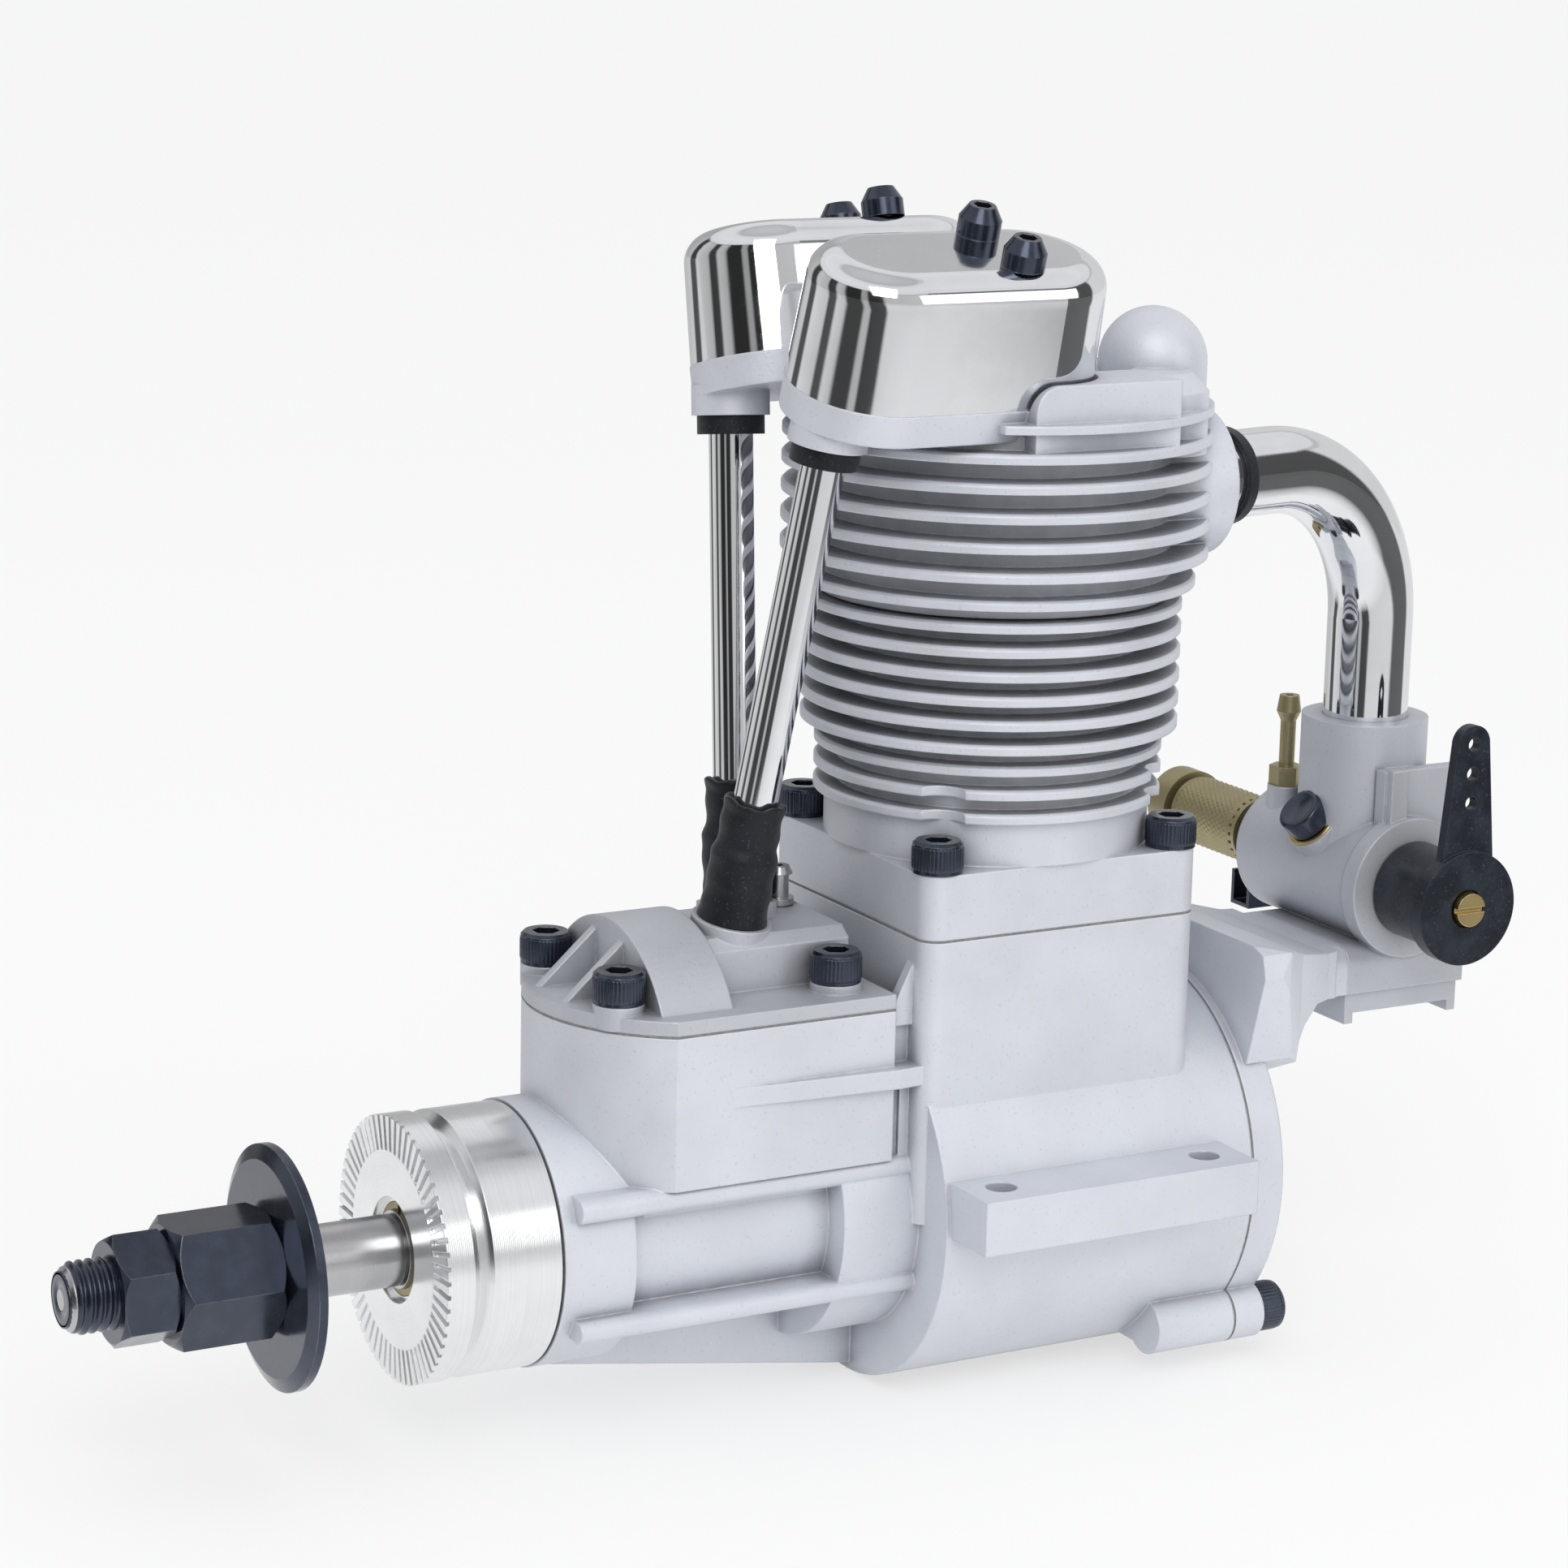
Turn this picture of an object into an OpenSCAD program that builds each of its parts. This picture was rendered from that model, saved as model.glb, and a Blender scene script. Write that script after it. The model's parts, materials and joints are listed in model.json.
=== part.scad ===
// Single cylinder overhead valve four-stroke model aircraft engine.
// Origin: centre of the four beam bolt holes on the underside of the mounting
// beams, level with the crankshaft axis. Propeller at -Y, carburettor at +Y,
// cylinder along +Z. Positions along Y in the sizes are taken from the
// cylinder axis, and engine() moves every piece to the mounting origin.

/* [Mounting beams] */
// Thickness of the two mounting beams
beam_t = 6.2; // [5:0.1:8]
// Half width over the outer edges of the beams
beam_half_x = 30; // [29:0.25:32]
// Length of each beam along the crankshaft
beam_len = 36; // [34:0.5:40]
// Distance of the beam centre behind the cylinder axis
beam_mid_y = 1.5; // [1:0.25:2.5]
// Bolt hole spacing across the engine
bolt_span_x = 51; // [50:0.25:52]
// Bolt hole spacing along the engine
bolt_span_y = 27; // [24:0.5:29]
// Bolt hole diameter
bolt_hole_d = 3.6; // [3.2:0.1:4.2]

/* [Crankcase] */
// Outer radius of the crank chamber
case_r = 22.5; // [22.25:0.25:24]
// Wall of the crank chamber
case_wall = 2.2; // [1.8:0.1:2.3]
// Front of the crank chamber ahead of the cylinder axis
case_front = 17; // [16.5:0.25:18]
// Rear joint face behind the cylinder axis
case_rear = 24; // [23:0.25:26]
// Half width of the square cylinder block
block_half = 18; // [17.5:0.25:19]
// Height of the cylinder joint above the crankshaft axis
block_top = 32.6; // [32:0.2:33.6]
// Thickness of the paper gaskets
gasket_t = 0.3; // [0.2:0.05:0.5]
// Radius of the nose around the front bearing
nose_r = 15; // [14.5:0.1:15.5]
// Nose face ahead of the cylinder axis
nose_front = 60.2; // [59.6:0.1:61.6]
// Length of the nose cylinder
nose_len = 8.6; // [8.2:0.1:9.4]
// Radius of the shaft tunnel between nose and crank chamber
tunnel_r = 12.8; // [12:0.1:13.4]
// Half width over the side ribs
rib_half = 15.8; // [15:0.1:16.2]

/* [Crank train] */
// Piston stroke
stroke = 26; // [25:0.25:26.5]
// Connecting rod length between centres
rod_len = 46; // [45.5:0.25:47]
// Cylinder bore
bore = 30; // [29.5:0.1:30.4]
// Crank pin diameter
pin_d = 8; // [7:0.25:8.5]
// Main journal diameter
journal_d = 12; // [11:0.5:12.5]
// Shaft diameter in the front bearing
shaft_d = 9; // [8.6:0.1:9.4]
// Propeller shaft diameter
prop_d = 8; // [7.5:0.1:8.2]
// Shaft tip ahead of the cylinder axis
tip_y = 111.8; // [110:0.2:114]
// Crank web thickness
web_t = 6; // [5:0.25:6.5]
// Crank web radius
web_r = 18.5; // [17.5:0.1:19]

/* [Propeller fixing] */
// Front face of the drive washer ahead of the cylinder axis
drive_y = 74; // [73.4:0.1:75]
// Drive washer radius
drive_r = 14.9; // [14.4:0.1:15.6]
// Space between drive washer and propeller washer
prop_gap = 13.1; // [11:0.1:14]
// Propeller washer radius
prop_washer_r = 13.5; // [12.5:0.1:15]
// Width over the flats of the propeller nut
prop_nut_af = 13; // [12.5:0.25:14]
// Length of the propeller nut
prop_nut_h = 11.6; // [10:0.1:12.4]
// Width over the flats of the lock nut
lock_nut_af = 11; // [10.5:0.25:12]

/* [Cam drive] */
// Tooth module of the timing gears
gear_m = 0.8; // [0.78:0.01:0.81]
// Teeth on the crankshaft gear
crank_teeth = 16; // [15:1:16]
// Face width of the timing gears
gear_w = 4.8; // [4.2:0.1:5]
// Rear face of the timing gears ahead of the cylinder axis
gear_rear = 41.6; // [41.4:0.1:41.8]
// Base circle radius of the cams
cam_base_r = 4.4; // [4.2:0.1:4.6]
// Rise of the cam lobes
cam_rise = 2; // [1.6:0.1:2.1]
// Width of a cam lobe
cam_w = 4; // [3.4:0.1:4.2]
// Diameter of the fixed cam axle
axle_d = 5; // [4.6:0.1:5.2]
// Half width of the cam cover plate
cam_half = 16; // [15.8:0.1:16.6]
// Height of the cam cover joint above the crankshaft axis
cam_joint_z = 24.9; // [24.7:0.1:25.1]
// Thickness of the cam cover plate
cam_plate_t = 1.6; // [1.5:0.1:1.8]
// Wall of the cam cover
cam_wall = 1.4; // [1.2:0.1:1.5]

/* [Valve gear] */
// Outward tilt of the rocker boxes
tilt = 15.5; // [15:0.25:16]
// Sideways position of a rocker box joint centre
bank_x = 11; // [10.9:0.1:11.4]
// Height of a rocker box joint centre
bank_z = 94.1; // [93.9:0.1:94.6]
// Valve lift
lift = 3.6; // [3:0.1:3.7]
// Valve stem diameter
stem_d = 3; // [2.8:0.1:3.1]
// Valve head radius
valve_r = 4.6; // [4.2:0.1:4.7]
// Radius of the push rods
rod_r = 1.1; // [0.9:0.1:1.2]
// Radius of the tappet stems
tappet_r = 2; // [1.8:0.1:2]
// Outer radius of the push rod tubes
tube_r = 2.5; // [2.4:0.1:2.6]
// Working clearance left where the valve gear is opened
lash = 0.2; // [0.15:0.05:0.25]

/* [Cylinder] */
// Cylinder wall outside the bore
cyl_wall = 2.4; // [2.2:0.1:2.6]
// Thickness of the square base flange
flange_t = 7.3; // [6.8:0.1:7.6]
// Distance of the cylinder screws from the sides of the block
screw_inset = 2.6; // [2.5:0.1:2.8]
// Number of fins at the upper pitch
fins_up = 5; // [4:1:5]
// Number of fins at the lower pitch
fins_low = 9; // [8:1:10]
// Height of the top fin face
fin_top_z = 87.2; // [87:0.1:87.6]
// Pitch of the upper fins
pitch_up = 3.25; // [3.2:0.05:3.3]
// Pitch of the lower fins
pitch_low = 2.72; // [2.6:0.02:2.74]
// Radius of the upper fins
fin_r_up = 24.3; // [23.5:0.1:25]
// Radius of the middle fins
fin_r_mid = 21.6; // [21:0.1:22.4]
// Radius of the lowest fins
fin_r_low = 19.9; // [19.6:0.1:20.2]
// Thickness of a fin
fin_t = 1.15; // [1:0.05:1.3]

/* [Rocker boxes] */
// Half width of a rocker box
box_r = 9.5; // [9.3:0.1:9.8]
// Front end of a rocker box ahead of the cylinder axis
box_front = 32.4; // [32.2:0.1:33]
// Rear end of a rocker box behind the cylinder axis
box_rear = 3.8; // [3.6:0.1:4.4]
// Height of a chromed rocker cover
cover_h = 14.8; // [14.4:0.1:15.4]
// Edge radius on top of a rocker cover
cover_edge = 3.4; // [2.6:0.1:3.8]
// Wall of a rocker cover
cover_wall = 1.2; // [1:0.1:1.3]
// Depth of the cast ring below a rocker cover
ring_h = 3.6; // [3.2:0.1:3.8]

/* [Carburettor and manifold] */
// Distance of the carburettor bore behind the cylinder axis
carb_y = 53.4; // [53:0.1:54.4]
// Height of the throttle barrel axis
carb_z = 30.2; // [30:0.1:30.6]
// Radius of the carburettor barrel housing
carb_r = 8; // [7.8:0.1:8.2]
// Radius of the throttle barrel
throttle_r = 5.5; // [5.2:0.1:5.7]
// Radius of the manifold socket
socket_r = 7.6; // [7.4:0.1:7.9]
// Top of the manifold socket
socket_top = 49.4; // [48.8:0.1:50]
// Outer radius of the manifold tube
manifold_r = 5.1; // [4.9:0.1:5.3]
// Wall of the manifold tube
manifold_wall = 0.8; // [0.6:0.1:1]
// Centre line radius of the manifold bend
bend_r = 19; // [18:0.25:20]
// Height of the inlet port axis
port_z = 80.6; // [80.2:0.1:81]
// Sideways position of the inlet port
port_x = 6.5; // [6:0.1:7]
// Radius of the throttle arm disc
disc_r = 6.85; // [6.4:0.1:7.4]
// Length of the throttle arm to its tip hole
arm_len = 19.6; // [18:0.2:22]
// Diameter of the throttle link holes
link_d = 1.6; // [1.4:0.1:2]

/* [Hidden] */
$fn = 96;
eps = 0.01;
fit = 0.05;
slack = 0.3;

cast_col = [0.78, 0.79, 0.8];
steel_col = [0.6, 0.6, 0.62];
dark_col = [0.12, 0.12, 0.13];
brass_col = [0.75, 0.6, 0.3];
chrome_col = [0.88, 0.89, 0.9];

throw = stroke / 2;
bore_r = bore / 2;
chamber_r = case_r - case_wall;
chamber_front = case_front - 3.4;
gudgeon_z = throw + rod_len;
crown_z = gudgeon_z + 9.4;
deck_z = crown_z + 2.1;
spigot_r = bore_r + 1.2;
spigot_bottom = 27;
flange_z = block_top + gasket_t;
flange_top = flange_z + flange_t;
screw_off = block_half - screw_inset;
wall_r = bore_r + cyl_wall;

// Crank train stations along Y
web_front = 12.4;
web_rear = web_front - web_t;
pin_front = web_rear - lash;
rear_brg_w = 8;
rear_brg_front = case_front + rear_brg_w;
front_brg_w = 7;
front_brg_front = nose_front - 0.6;
thread_r = prop_d / 2 - 0.5;
rear_brg_r = 14;
front_brg_r = 12;

// Timing gears
cam_teeth = 2 * crank_teeth;
crank_pr = gear_m * crank_teeth / 2;
cam_pr = gear_m * cam_teeth / 2;
cam_z = crank_pr + cam_pr;
gear_front = gear_rear + gear_w;
gear_hole_r = cam_pr + gear_m + 0.5;
cam_cavity_r = 7.6;
gear_room_front = gear_front + 0.5;
gear_room_rear = gear_rear - 0.6;

// Push rod lines: lower point at the boot seat and upper point at the grommet
seat_z = 34;
int_low = [3.4, -34.6, seat_z];
exh_low = [-3.4, -30.4, seat_z];
int_high = [10.5, -28.4, 85];
exh_high = [-10.5, -28.4, 85];
int_dir = (int_high - int_low) / norm(int_high - int_low);
exh_dir = (exh_high - exh_low) / norm(exh_high - exh_low);
int_cam_y = int_low[1] + (cam_z - seat_z) * int_dir[1] / int_dir[2];
exh_cam_y = exh_low[1] + (cam_z - seat_z) * exh_dir[1] / exh_dir[2];
lobe_r = cam_base_r + cam_rise;
foot_r = 2.9;
foot_t = 1.2;
foot_s = (cam_z + lobe_r + lash + 0.45 - seat_z) / int_dir[2];
guide_low_s = foot_s + foot_t + lift + 0.3;
guide_r = 3;
guide_top_s = 5.4;
tappet_top_s = 1.8;
boot_r = 3.75;
boot_len = 13.8;
tube_low_s = guide_top_s + 1.2;
boss_face_s = 54.6;
grommet_t = 2.1;

// Cam cover
cam_nose_r = 18.5;
cam_nose_y = -38.3;
cam_cover_z = cam_joint_z + gasket_t;
cam_plate_z = cam_cover_z + cam_plate_t;
cam_rear = 20.5;
dome_r = gear_hole_r + cam_wall;
dome_front = gear_room_front + cam_wall;
dome_rear = 39.6;
box_half = 8;
box_top = 32.8;
cam_scr_x = [9.2, 11.2];
cam_scr_y = [-51.4, -25.6];
scr_head_r = 2.85;
scr_head_h = 3.6;
scr_r = 1.7;

// Rocker boxes, in the tilted frame of a bank: X outwards, Y along, Z up
box_c0 = -box_front + box_r;
box_c1 = box_rear - box_r;
floor_w = -1.6;
pivot_y = -15;
pivot_w = 5;
valve_y = -3.1;
rod_end_y = -26.9;
rocker_half = 2.6;
valve_tip_w = 7.6;
valve_face_w = -20.2;
retainer_w = 5.2;
spring_wire = 0.8;
spring_r = 3.6;
spring_turns = 4;
cover_scr_y = -9.6;
cover_scr_x = 4.9;
sphere_z = bank_z - bank_x / tan(tilt);
roof_r = sqrt(pow(deck_z - sphere_z, 2) + bore_r * bore_r);
rod_tip_w = 3;
tip_s = 62.6;
hump_r = 6.2;
hump_x = 6;
hump_y = 16.6;
glow_seat = 9.6;
glow_r = 3.1;
glow_hex_r = 4.6;

// Carburettor
arm_half = 10.6;
arm_top = 23.6;
arm_low = 17.8;
arm_edge = 2.4;
root_half = 21.4;
root_top = 28;
lug_r = 3.3;
arm_joint = 45;
cover_t = 4;
cover_rear = case_rear + gasket_t + cover_t;
carb_x0 = -14;
carb_x1 = 11;
manifold_ang = atan2(port_x, carb_y - 22);
port_face = 24.4;
port_reach = (carb_y - port_face + 3.4) / cos(manifold_ang);
socket_floor = 43.6;
tip_hole_z = carb_z + arm_len;

module engine() {
  translate([0, -beam_mid_y, 0]) children();
}

module along(a, b) {
  v = b - a;
  translate(a)
    rotate([0, acos(v[2] / norm(v)), atan2(v[1], v[0])])
      children();
}

module ycyl(r, y0, y1, x = 0, z = 0) {
  translate([x, y0, z])
    rotate([-90, 0, 0])
      cylinder(h = y1 - y0, r = r);
}

module xcyl(r, x0, x1, y = 0, z = 0) {
  translate([x0, y, z])
    rotate([0, 90, 0])
      cylinder(h = x1 - x0, r = r);
}

module both() {
  children();
  mirror([1, 0, 0]) children();
}

// Tilted frame of a rocker box: side 1 is the inlet side
module bank(side) {
  if (side > 0) {
    translate([bank_x, 0, bank_z]) rotate([0, tilt, 0]) children();
  } else {
    mirror([1, 0, 0])
      translate([bank_x, 0, bank_z]) rotate([0, tilt, 0]) children();
  }
}

module rsquare(w, l, r) {
  square([w - 2 * r, l], center = true);
  square([w, l - 2 * r], center = true);
  for (i = [-1, 1])
    for (j = [-1, 1])
      translate([i * (w / 2 - r), j * (l / 2 - r)])
        circle(r = r);
}

module stadium(r) {
  translate([-r, box_c0]) square([2 * r, box_c1 - box_c0]);
  translate([0, box_c0]) circle(r = r);
  translate([0, box_c1]) circle(r = r);
}

// Extrude a YZ outline along X between x0 and x1
module yz_extrude(x0, x1) {
  translate([x0, 0, 0])
    rotate([90, 0, 90])
      linear_extrude(height = x1 - x0)
        children();
}

// Extrude an XZ outline along Y between y0 and y1
module xz_extrude(y0, y1) {
  translate([0, y1, 0])
    rotate([90, 0, 0])
      linear_extrude(height = y1 - y0)
        children();
}

// Socket head cap screw: head above z = 0, shank below
module cap_screw(hr, hh, r, l) {
  difference() {
    union() {
      cylinder(h = hh - 0.35, r = hr);
      translate([0, 0, hh - 0.35]) cylinder(h = 0.35, r1 = hr, r2 = hr - 0.35);
      translate([0, 0, -l]) cylinder(h = l + eps, r = r);
    }
    translate([0, 0, hh - 0.55 * hh]) cylinder(h = hh, r = hr * 0.56, $fn = 6);
  }
}

function inv_deg(a) = tan(a) * 180 / PI - a;

function flank(rb, r, half) = half + inv_deg(20) - inv_deg(acos(min(1, rb / r)));

// Involute gear outline with a tooth on the +X axis
module gear2d(teeth, play) {
  pr = gear_m * teeth / 2;
  rb = pr * cos(20);
  ra = pr + gear_m;
  rf = pr - 1.25 * gear_m;
  r0 = max(rb, rf);
  half = 90 / teeth - play;
  steps = 4;
  polygon([for (k = [0 : teeth - 1])
    each concat(
      [rf * [cos(k * 360 / teeth - flank(rb, r0, half)),
             sin(k * 360 / teeth - flank(rb, r0, half))]],
      [for (i = [0 : steps]) let (r = r0 + (ra - r0) * i / steps)
        r * [cos(k * 360 / teeth - flank(rb, r, half)),
             sin(k * 360 / teeth - flank(rb, r, half))]],
      [for (i = [steps : -1 : 0]) let (r = r0 + (ra - r0) * i / steps)
        r * [cos(k * 360 / teeth + flank(rb, r, half)),
             sin(k * 360 / teeth + flank(rb, r, half))]],
      [rf * [cos(k * 360 / teeth + flank(rb, r0, half)),
             sin(k * 360 / teeth + flank(rb, r0, half))]])]);
}

module cam_plan(grow) {
  intersection() {
    union() {
      translate([0, cam_nose_y]) circle(r = cam_nose_r + grow);
      translate([-cam_half - grow, cam_nose_y])
        square([2 * (cam_half + grow), -cam_nose_y - cam_rear]);
    }
    translate([-cam_half - grow, -90])
      square([2 * (cam_half + grow), 90 - cam_rear]);
  }
}

module cam_room_plan() {
  translate([-cam_half + 3.2, -gear_room_front])
    square([2 * cam_half - 6.4, gear_room_front - gear_room_rear]);
  translate([-cam_cavity_r, -gear_room_rear - 1])
    square([2 * cam_cavity_r, gear_room_rear + 1 - 26.6]);
}

module cam_screw_places() {
  for (k = [0, 1])
    for (s = [-1, 1])
      translate([s * cam_scr_x[k], cam_scr_y[k], 0])
        children();
}

// Three corners carry a screw, the fourth one gives room for the carburettor arm
module rear_screw_places() {
  for (c = [[1, -1], [-1, -1], [-1, 1]])
    translate([c[0] * 16.9, 0, c[1] * 16.9])
      children();
}

module cylinder_screw_places() {
  for (i = [-1, 1])
    for (j = [-1, 1])
      translate([i * screw_off, j * screw_off, 0])
        children();
}

// ---------------------------------------------------------------- crankcase

module side_rib(z, y0, y1, half, t) {
  ycyl(t / 2, y0, y1, half - t / 2, z);
  translate([0, y0, z - t / 2]) cube([half - t / 2, y1 - y0, t]);
}

module crankcase_body() {
  ycyl(case_r, -case_front, case_rear);
  linear_extrude(height = block_top)
    rsquare(2 * block_half, 2 * block_half, 2.4);
  ycyl(nose_r, -nose_front, -nose_front + nose_len);
  ycyl(tunnel_r, -nose_front + 1, -case_front + 1);
  ycyl(rear_brg_r + 2.4, -rear_brg_front - 1.6, -case_front + 1);
  translate([0, 0, 7.6])
    linear_extrude(height = cam_joint_z - 7.6)
      cam_plan(0);
  xz_extrude(-nose_front + nose_len + 2, -cam_rear)
    translate([-tunnel_r + 0.6, 0]) square([2 * tunnel_r - 1.2, 9]);
  both() {
    side_rib(6.5, -nose_front + 1.6, -case_front + 1, rib_half, 2.8);
    side_rib(-7.2, -nose_front + 1.6, -case_front + 1, rib_half, 2.4);
    // flanges behind the side panels
    translate([0, -23.6, -7.2]) cube([rib_half - 1.6, 1.2, 13.7]);
    translate([0, -case_front - 2.2, -7.2]) cube([rib_half - 0.8, 2.6, 24.6]);
    // gusset between cam housing and block
    translate([cam_half - 2.2, 0, 0])
      yz_extrude(0, 1.4)
        polygon([[-cam_rear - 1, cam_joint_z - 2], [-block_half + 0.6, cam_joint_z - 2],
          [-block_half + 0.6, block_top - 1.4]]);
    // upright rib at the front of the cam housing
    yz_extrude(3.2, 4.6)
      polygon([[-nose_front + 4, nose_r - 3], [-nose_front + nose_len + 3, nose_r - 3],
        [-nose_front + nose_len + 3, cam_joint_z - 1.4], [-56, cam_joint_z - 1.4]]);
  }
  // wedge ribs beside the cam housing and the web behind it
  translate([0, 0, 16.3])
    linear_extrude(height = 2.2)
      polygon([[-block_half + 1, -block_half + 1], [-cam_half - 1.4, -cam_rear], [-cam_half + 0.4, -46.8],
        [cam_half - 0.4, -46.8], [cam_half + 1.4, -cam_rear], [block_half - 1, -block_half + 1]]);
  translate([-cam_half + 1.6, -cam_rear - 0.6, 7.6])
    cube([2 * cam_half - 3.2, cam_rear - block_half + 1.2, cam_joint_z - 9.6]);
  // keel under the shaft tunnel
  yz_extrude(-1.6, 1.6)
    polygon([[-nose_front + 3, -nose_r + 3], [-case_front + 3, -nose_r + 3],
      [-case_front + 3, -case_r + 0.4], [-nose_front + 3, -nose_r - 0.4]]);
  // mounting beams
  for (s = [-1, 1])
    translate([s > 0 ? 12 : -beam_half_x, beam_mid_y - beam_len / 2, 0])
      cube([beam_half_x - 12, beam_len, beam_t]);
  // screw lugs at the rear joint
  rear_screw_places()
    ycyl(lug_r, 13.6, case_rear);
  for (s = [-1, 1])
    translate([s > 0 ? 8 : -16.9, 13.6, -16.9 - 2.5])
      cube([8.9, case_rear - 13.6, 5]);
}

module crankcase() color(cast_col) engine()
  difference() {
    crankcase_body();
    // crank chamber and cylinder seat
    ycyl(chamber_r, -chamber_front, case_rear + 1);
    cylinder(h = block_top + 1, r = spigot_r + fit);
    // bearing seats and shaft tunnel
    ycyl(rear_brg_r + 0.02, -rear_brg_front, -chamber_front + eps);
    ycyl(journal_d / 2 + 2.4, -rear_brg_front - 20, -rear_brg_front + eps);
    ycyl(crank_pr + gear_m + 0.5, -nose_front + 8.6, -26);
    ycyl(front_brg_r + 0.02, -nose_front - 1, -front_brg_front + front_brg_w);
    ycyl(shaft_d / 2 + 1.6, -nose_front, -nose_front + 14);
    // timing gear room and cam room
    intersection() {
      ycyl(gear_hole_r, -gear_room_front, -gear_room_rear, 0, cam_z);
      translate([-cam_half, -60, 3]) cube([2 * cam_half, 60, 40]);
    }
    ycyl(cam_cavity_r, -gear_room_rear - 1, -26.6, 0, cam_z);
    translate([-gear_hole_r, -gear_room_front, cam_z])
      cube([2 * gear_hole_r, gear_room_front - gear_room_rear, 20]);
    translate([-cam_cavity_r, -gear_room_rear - 1, cam_z])
      cube([2 * cam_cavity_r, gear_room_rear + 1 - 26.6, 20]);
    ycyl(axle_d / 2 + 0.02, -gear_room_front - 2.2, -22.4, 0, cam_z);
    // beam holes
    for (i = [-1, 1])
      for (j = [-1, 1])
        translate([i * bolt_span_x / 2, beam_mid_y + j * bolt_span_y / 2, -1])
          cylinder(h = beam_t + 2, d = bolt_hole_d);
    // screw holes
    cylinder_screw_places()
      translate([0, 0, block_top - 9]) cylinder(h = 10, r = scr_r + fit);
    cam_screw_places()
      translate([0, 0, cam_joint_z - 6]) cylinder(h = 7, r = scr_r + fit);
    rear_screw_places()
      ycyl(scr_r + fit, case_rear - 8, case_rear + 1);
  }

// ---------------------------------------------------------------- rear cover

module rear_plate(y0, y1) {
  ycyl(case_r, y0, y1);
  rear_screw_places()
    ycyl(lug_r, y0, y1);
}

module arm_section() {
  translate([-arm_half, arm_low]) square([2 * arm_half, arm_top - arm_low - arm_edge]);
  translate([-arm_half + arm_edge, arm_low])
    square([2 * (arm_half - arm_edge), arm_top - arm_low]);
  for (s = [-1, 1])
    translate([s * (arm_half - arm_edge), arm_top - arm_edge]) circle(r = arm_edge);
}

// root of the arm, wide at the cover and narrowing to the arm section
module arm_root() {
  intersection() {
    xz_extrude(case_rear + gasket_t, arm_joint - 2)
      polygon([[-8, 8], [8, 8], [root_half - 3, 13.8], [root_half, 24.6], [root_half - 0.7, root_top - 0.8],
        [root_half - 2.8, root_top], [-root_half + 2.8, root_top], [-root_half + 0.7, root_top - 0.8],
        [-root_half, 24.6], [-root_half + 3, 13.8]]);
    translate([0, 0, 6])
      linear_extrude(height = 30)
        polygon([[-root_half - 1, cover_rear - 3], [root_half + 1, cover_rear - 3],
          [root_half - 0.6, cover_rear + 1], [arm_half + 3.6, cover_rear + 7.4],
          [arm_half + 0.6, cover_rear + 13.4], [arm_half, arm_joint], [-arm_half, arm_joint],
          [-arm_half - 0.6, cover_rear + 13.4], [-arm_half - 3.6, cover_rear + 7.4],
          [-root_half + 0.6, cover_rear + 1]]);
    yz_extrude(-24, 24)
      polygon([[cover_rear - 3, 9], [cover_rear + 1, 9.4], [cover_rear + 6, 12],
        [cover_rear + 8.4, 15.8], [cover_rear + 11.2, arm_low], [arm_joint, arm_low],
        [arm_joint, arm_top - 0.02], [cover_rear + 13, arm_top - 0.02], [cover_rear + 8, arm_top + 1],
        [cover_rear + 2.4, root_top - 1], [cover_rear - 3, root_top]]);
  }
}

module rear_cover() color(cast_col) engine()
  difference() {
    union() {
      rear_plate(case_rear + gasket_t, cover_rear);
      difference() {
        ycyl(chamber_r - 0.1, case_rear - 2, case_rear + gasket_t + 1);
        ycyl(chamber_r - 2, case_rear - 3, case_rear + gasket_t);
      }
      xz_extrude(cover_rear - 1, arm_joint) arm_section();
      arm_root();
      ycyl(6, cover_rear - 1, cover_rear + 1.2, 0, -4);
    }
    rear_screw_places()
      ycyl(scr_r + 0.2, case_rear - 1, cover_rear + 1);
    // relief for the head of the upper screw
    ycyl(scr_head_r + slack, cover_rear, cover_rear + 12, -16.9, 16.9);
  }

module rear_cover_gasket() color([0.35, 0.33, 0.3]) engine()
  difference() {
    rear_plate(case_rear, case_rear + gasket_t);
    ycyl(chamber_r, case_rear - 1, case_rear + gasket_t + 1);
    rear_screw_places()
      ycyl(scr_r + 0.2, case_rear - 1, case_rear + gasket_t + 1);
  }

module rear_cover_screws() color(dark_col) engine()
  rear_screw_places()
    translate([0, cover_rear, 0])
      rotate([-90, 0, 0])
        cap_screw(scr_head_r, scr_head_h, scr_r, 11);

// ---------------------------------------------------------------- crank train

module bearing(ri, ro, w) {
  ring = (ro - ri) * 0.26;
  rm = (ro + ri) / 2;
  difference() {
    cylinder(h = w, r = ro);
    translate([0, 0, -1]) cylinder(h = w + 2, r = ri);
    translate([0, 0, w - 0.5])
      difference() {
        cylinder(h = 1, r = ro - ring);
        translate([0, 0, -1]) cylinder(h = 3, r = ri + ring);
      }
    translate([0, 0, -0.5])
      difference() {
        cylinder(h = 1, r = ro - ring);
        translate([0, 0, -1]) cylinder(h = 3, r = ri + ring);
      }
  }
}

module front_bearing() color(steel_col) engine()
  translate([0, -front_brg_front, 0])
    rotate([-90, 0, 0])
      bearing(shaft_d / 2 + 0.02, front_brg_r, front_brg_w);

module rear_bearing() color(steel_col) engine()
  translate([0, -rear_brg_front, 0])
    rotate([-90, 0, 0])
      bearing(journal_d / 2 + 0.02, rear_brg_r, rear_brg_w);

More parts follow.
